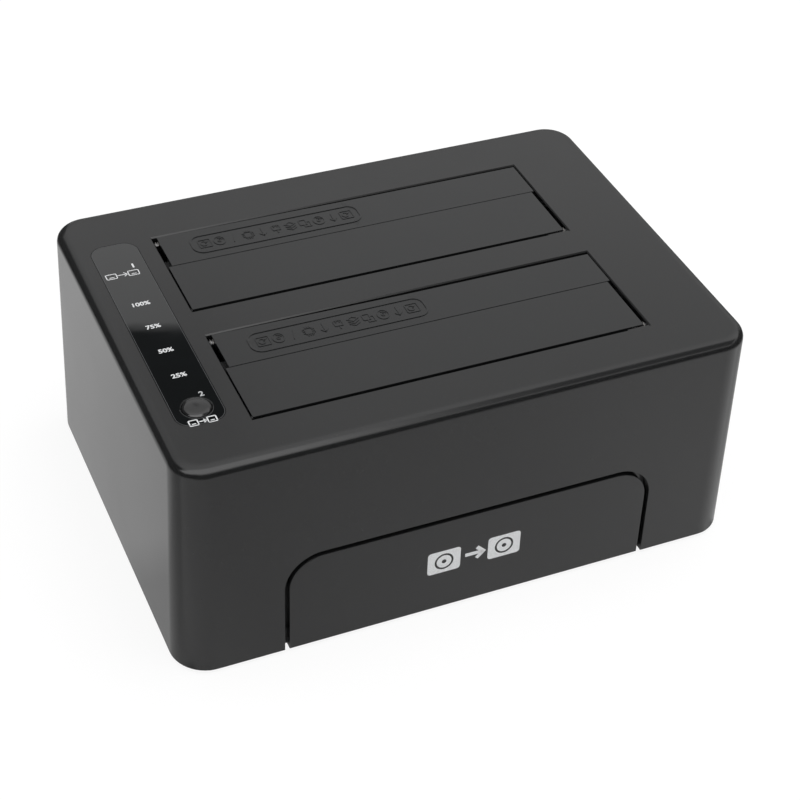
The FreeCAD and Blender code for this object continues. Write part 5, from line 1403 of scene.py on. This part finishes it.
def levelSheet(name, look, makeLevel):
    # a horizontal sheet at one height
    z = look["height"]
    stagePiece(name, [(look["left"], look["front"], z), (look["left"], look["rear"], z),
                      (look["right"], look["rear"], z), (look["right"], look["front"], z)],
               reflectedOnly(name + "Glow", makeLevel))


def makeCeiling(look):
    # soft and wide, brightest overhead, with one dark card that the label mirrors
    def level(tree, x, y):
        rearward = rising(tree, y, look["farFrom"], look["farSpan"])
        overhead = 1 - rising(tree, y, 0.0, look["overSpan"])
        glow = (look["near"] + (look["far"] - look["near"]) * rearward
                + (look["over"] - look["near"]) * overhead)
        card = look["cardShare"]
        leant = y + look["cardSlant"] * (x - look["cardMiddle"][0])
        for value, centre, half, fade in zip((x, leant), look["cardMiddle"], look["cardHalf"],
                                             look["cardFade"]):
            card = (1 - rising(tree, away(tree, value - centre), half, fade)) * card
        return glow * (1 - card)

    levelSheet("ceiling", look, level)


def makeCanopy(look):
    # a lamp cloth over the front, fading to the right: it draws the highlight on the front rim
    def level(tree, x, y):
        slanted = x + look["slant"] * (y + caseHigh.y)
        rightward = rising(tree, slanted, look["from"], look["span"])
        return look["bright"] + (look["dim"] - look["bright"]) * rightward

    levelSheet("canopy", look, level)


def makeBackdrop(look):
    # pale cloth far behind and to the right: the rear and right rims mirror it
    rear, top = look["rear"], look["top"]
    corners = [(look["left"], rear, 0), (look["left"], rear, top), (look["right"], rear, top),
               (look["right"], rear, 0)]
    stagePiece("backdrop", corners, reflectedOnly("backdropGlow", lambda *_: look["level"]))


def softLamp(name, look):
    lamp = bpy.data.lights.new(name, "AREA")
    lamp.shape = "RECTANGLE"
    lamp.size, lamp.size_y = (side * mm for side in look["size"])
    lamp.energy = look["power"]
    place = Vector(look["place"])
    way = (Vector(look["aim"]) - place).normalized()
    thing = bpy.data.objects.new(name, lamp)
    turn = way.to_track_quat("-Z", "Y").to_matrix().to_4x4()
    thing.matrix_world = Matrix.Translation(place * mm) @ turn
    thing.visible_glossy = False  # the ceiling stands for it in reflections
    scene.collection.objects.link(thing)


def makeSky(look):
    world = bpy.data.worlds.new("studio")
    scene.world = world
    world.use_nodes = True
    world.node_tree.nodes.clear()
    sky = Signal(world.node_tree)
    seen = rayKind(sky, "Is Camera Ray", "Is Transmission Ray")
    gloss = rayKind(sky, "Is Glossy Ray")
    level = (look["ambient"] + (look["seen"] - look["ambient"]) * seen
             + (look["gloss"] - look["ambient"]) * gloss)
    background = sky.add("ShaderNodeBackground", None, {"Color": (1, 1, 1, 1), "Strength": level})
    sky.add("ShaderNodeOutputWorld", None, {"Surface": background})


makePaper(paperLook)
makeCeiling(ceilingLook)
makeCanopy(canopyLook)
makeBackdrop(backdropLook)
makeSky(skyLook)
softLamp("overheadLamp", lampLook)
print("stage and lamps set")
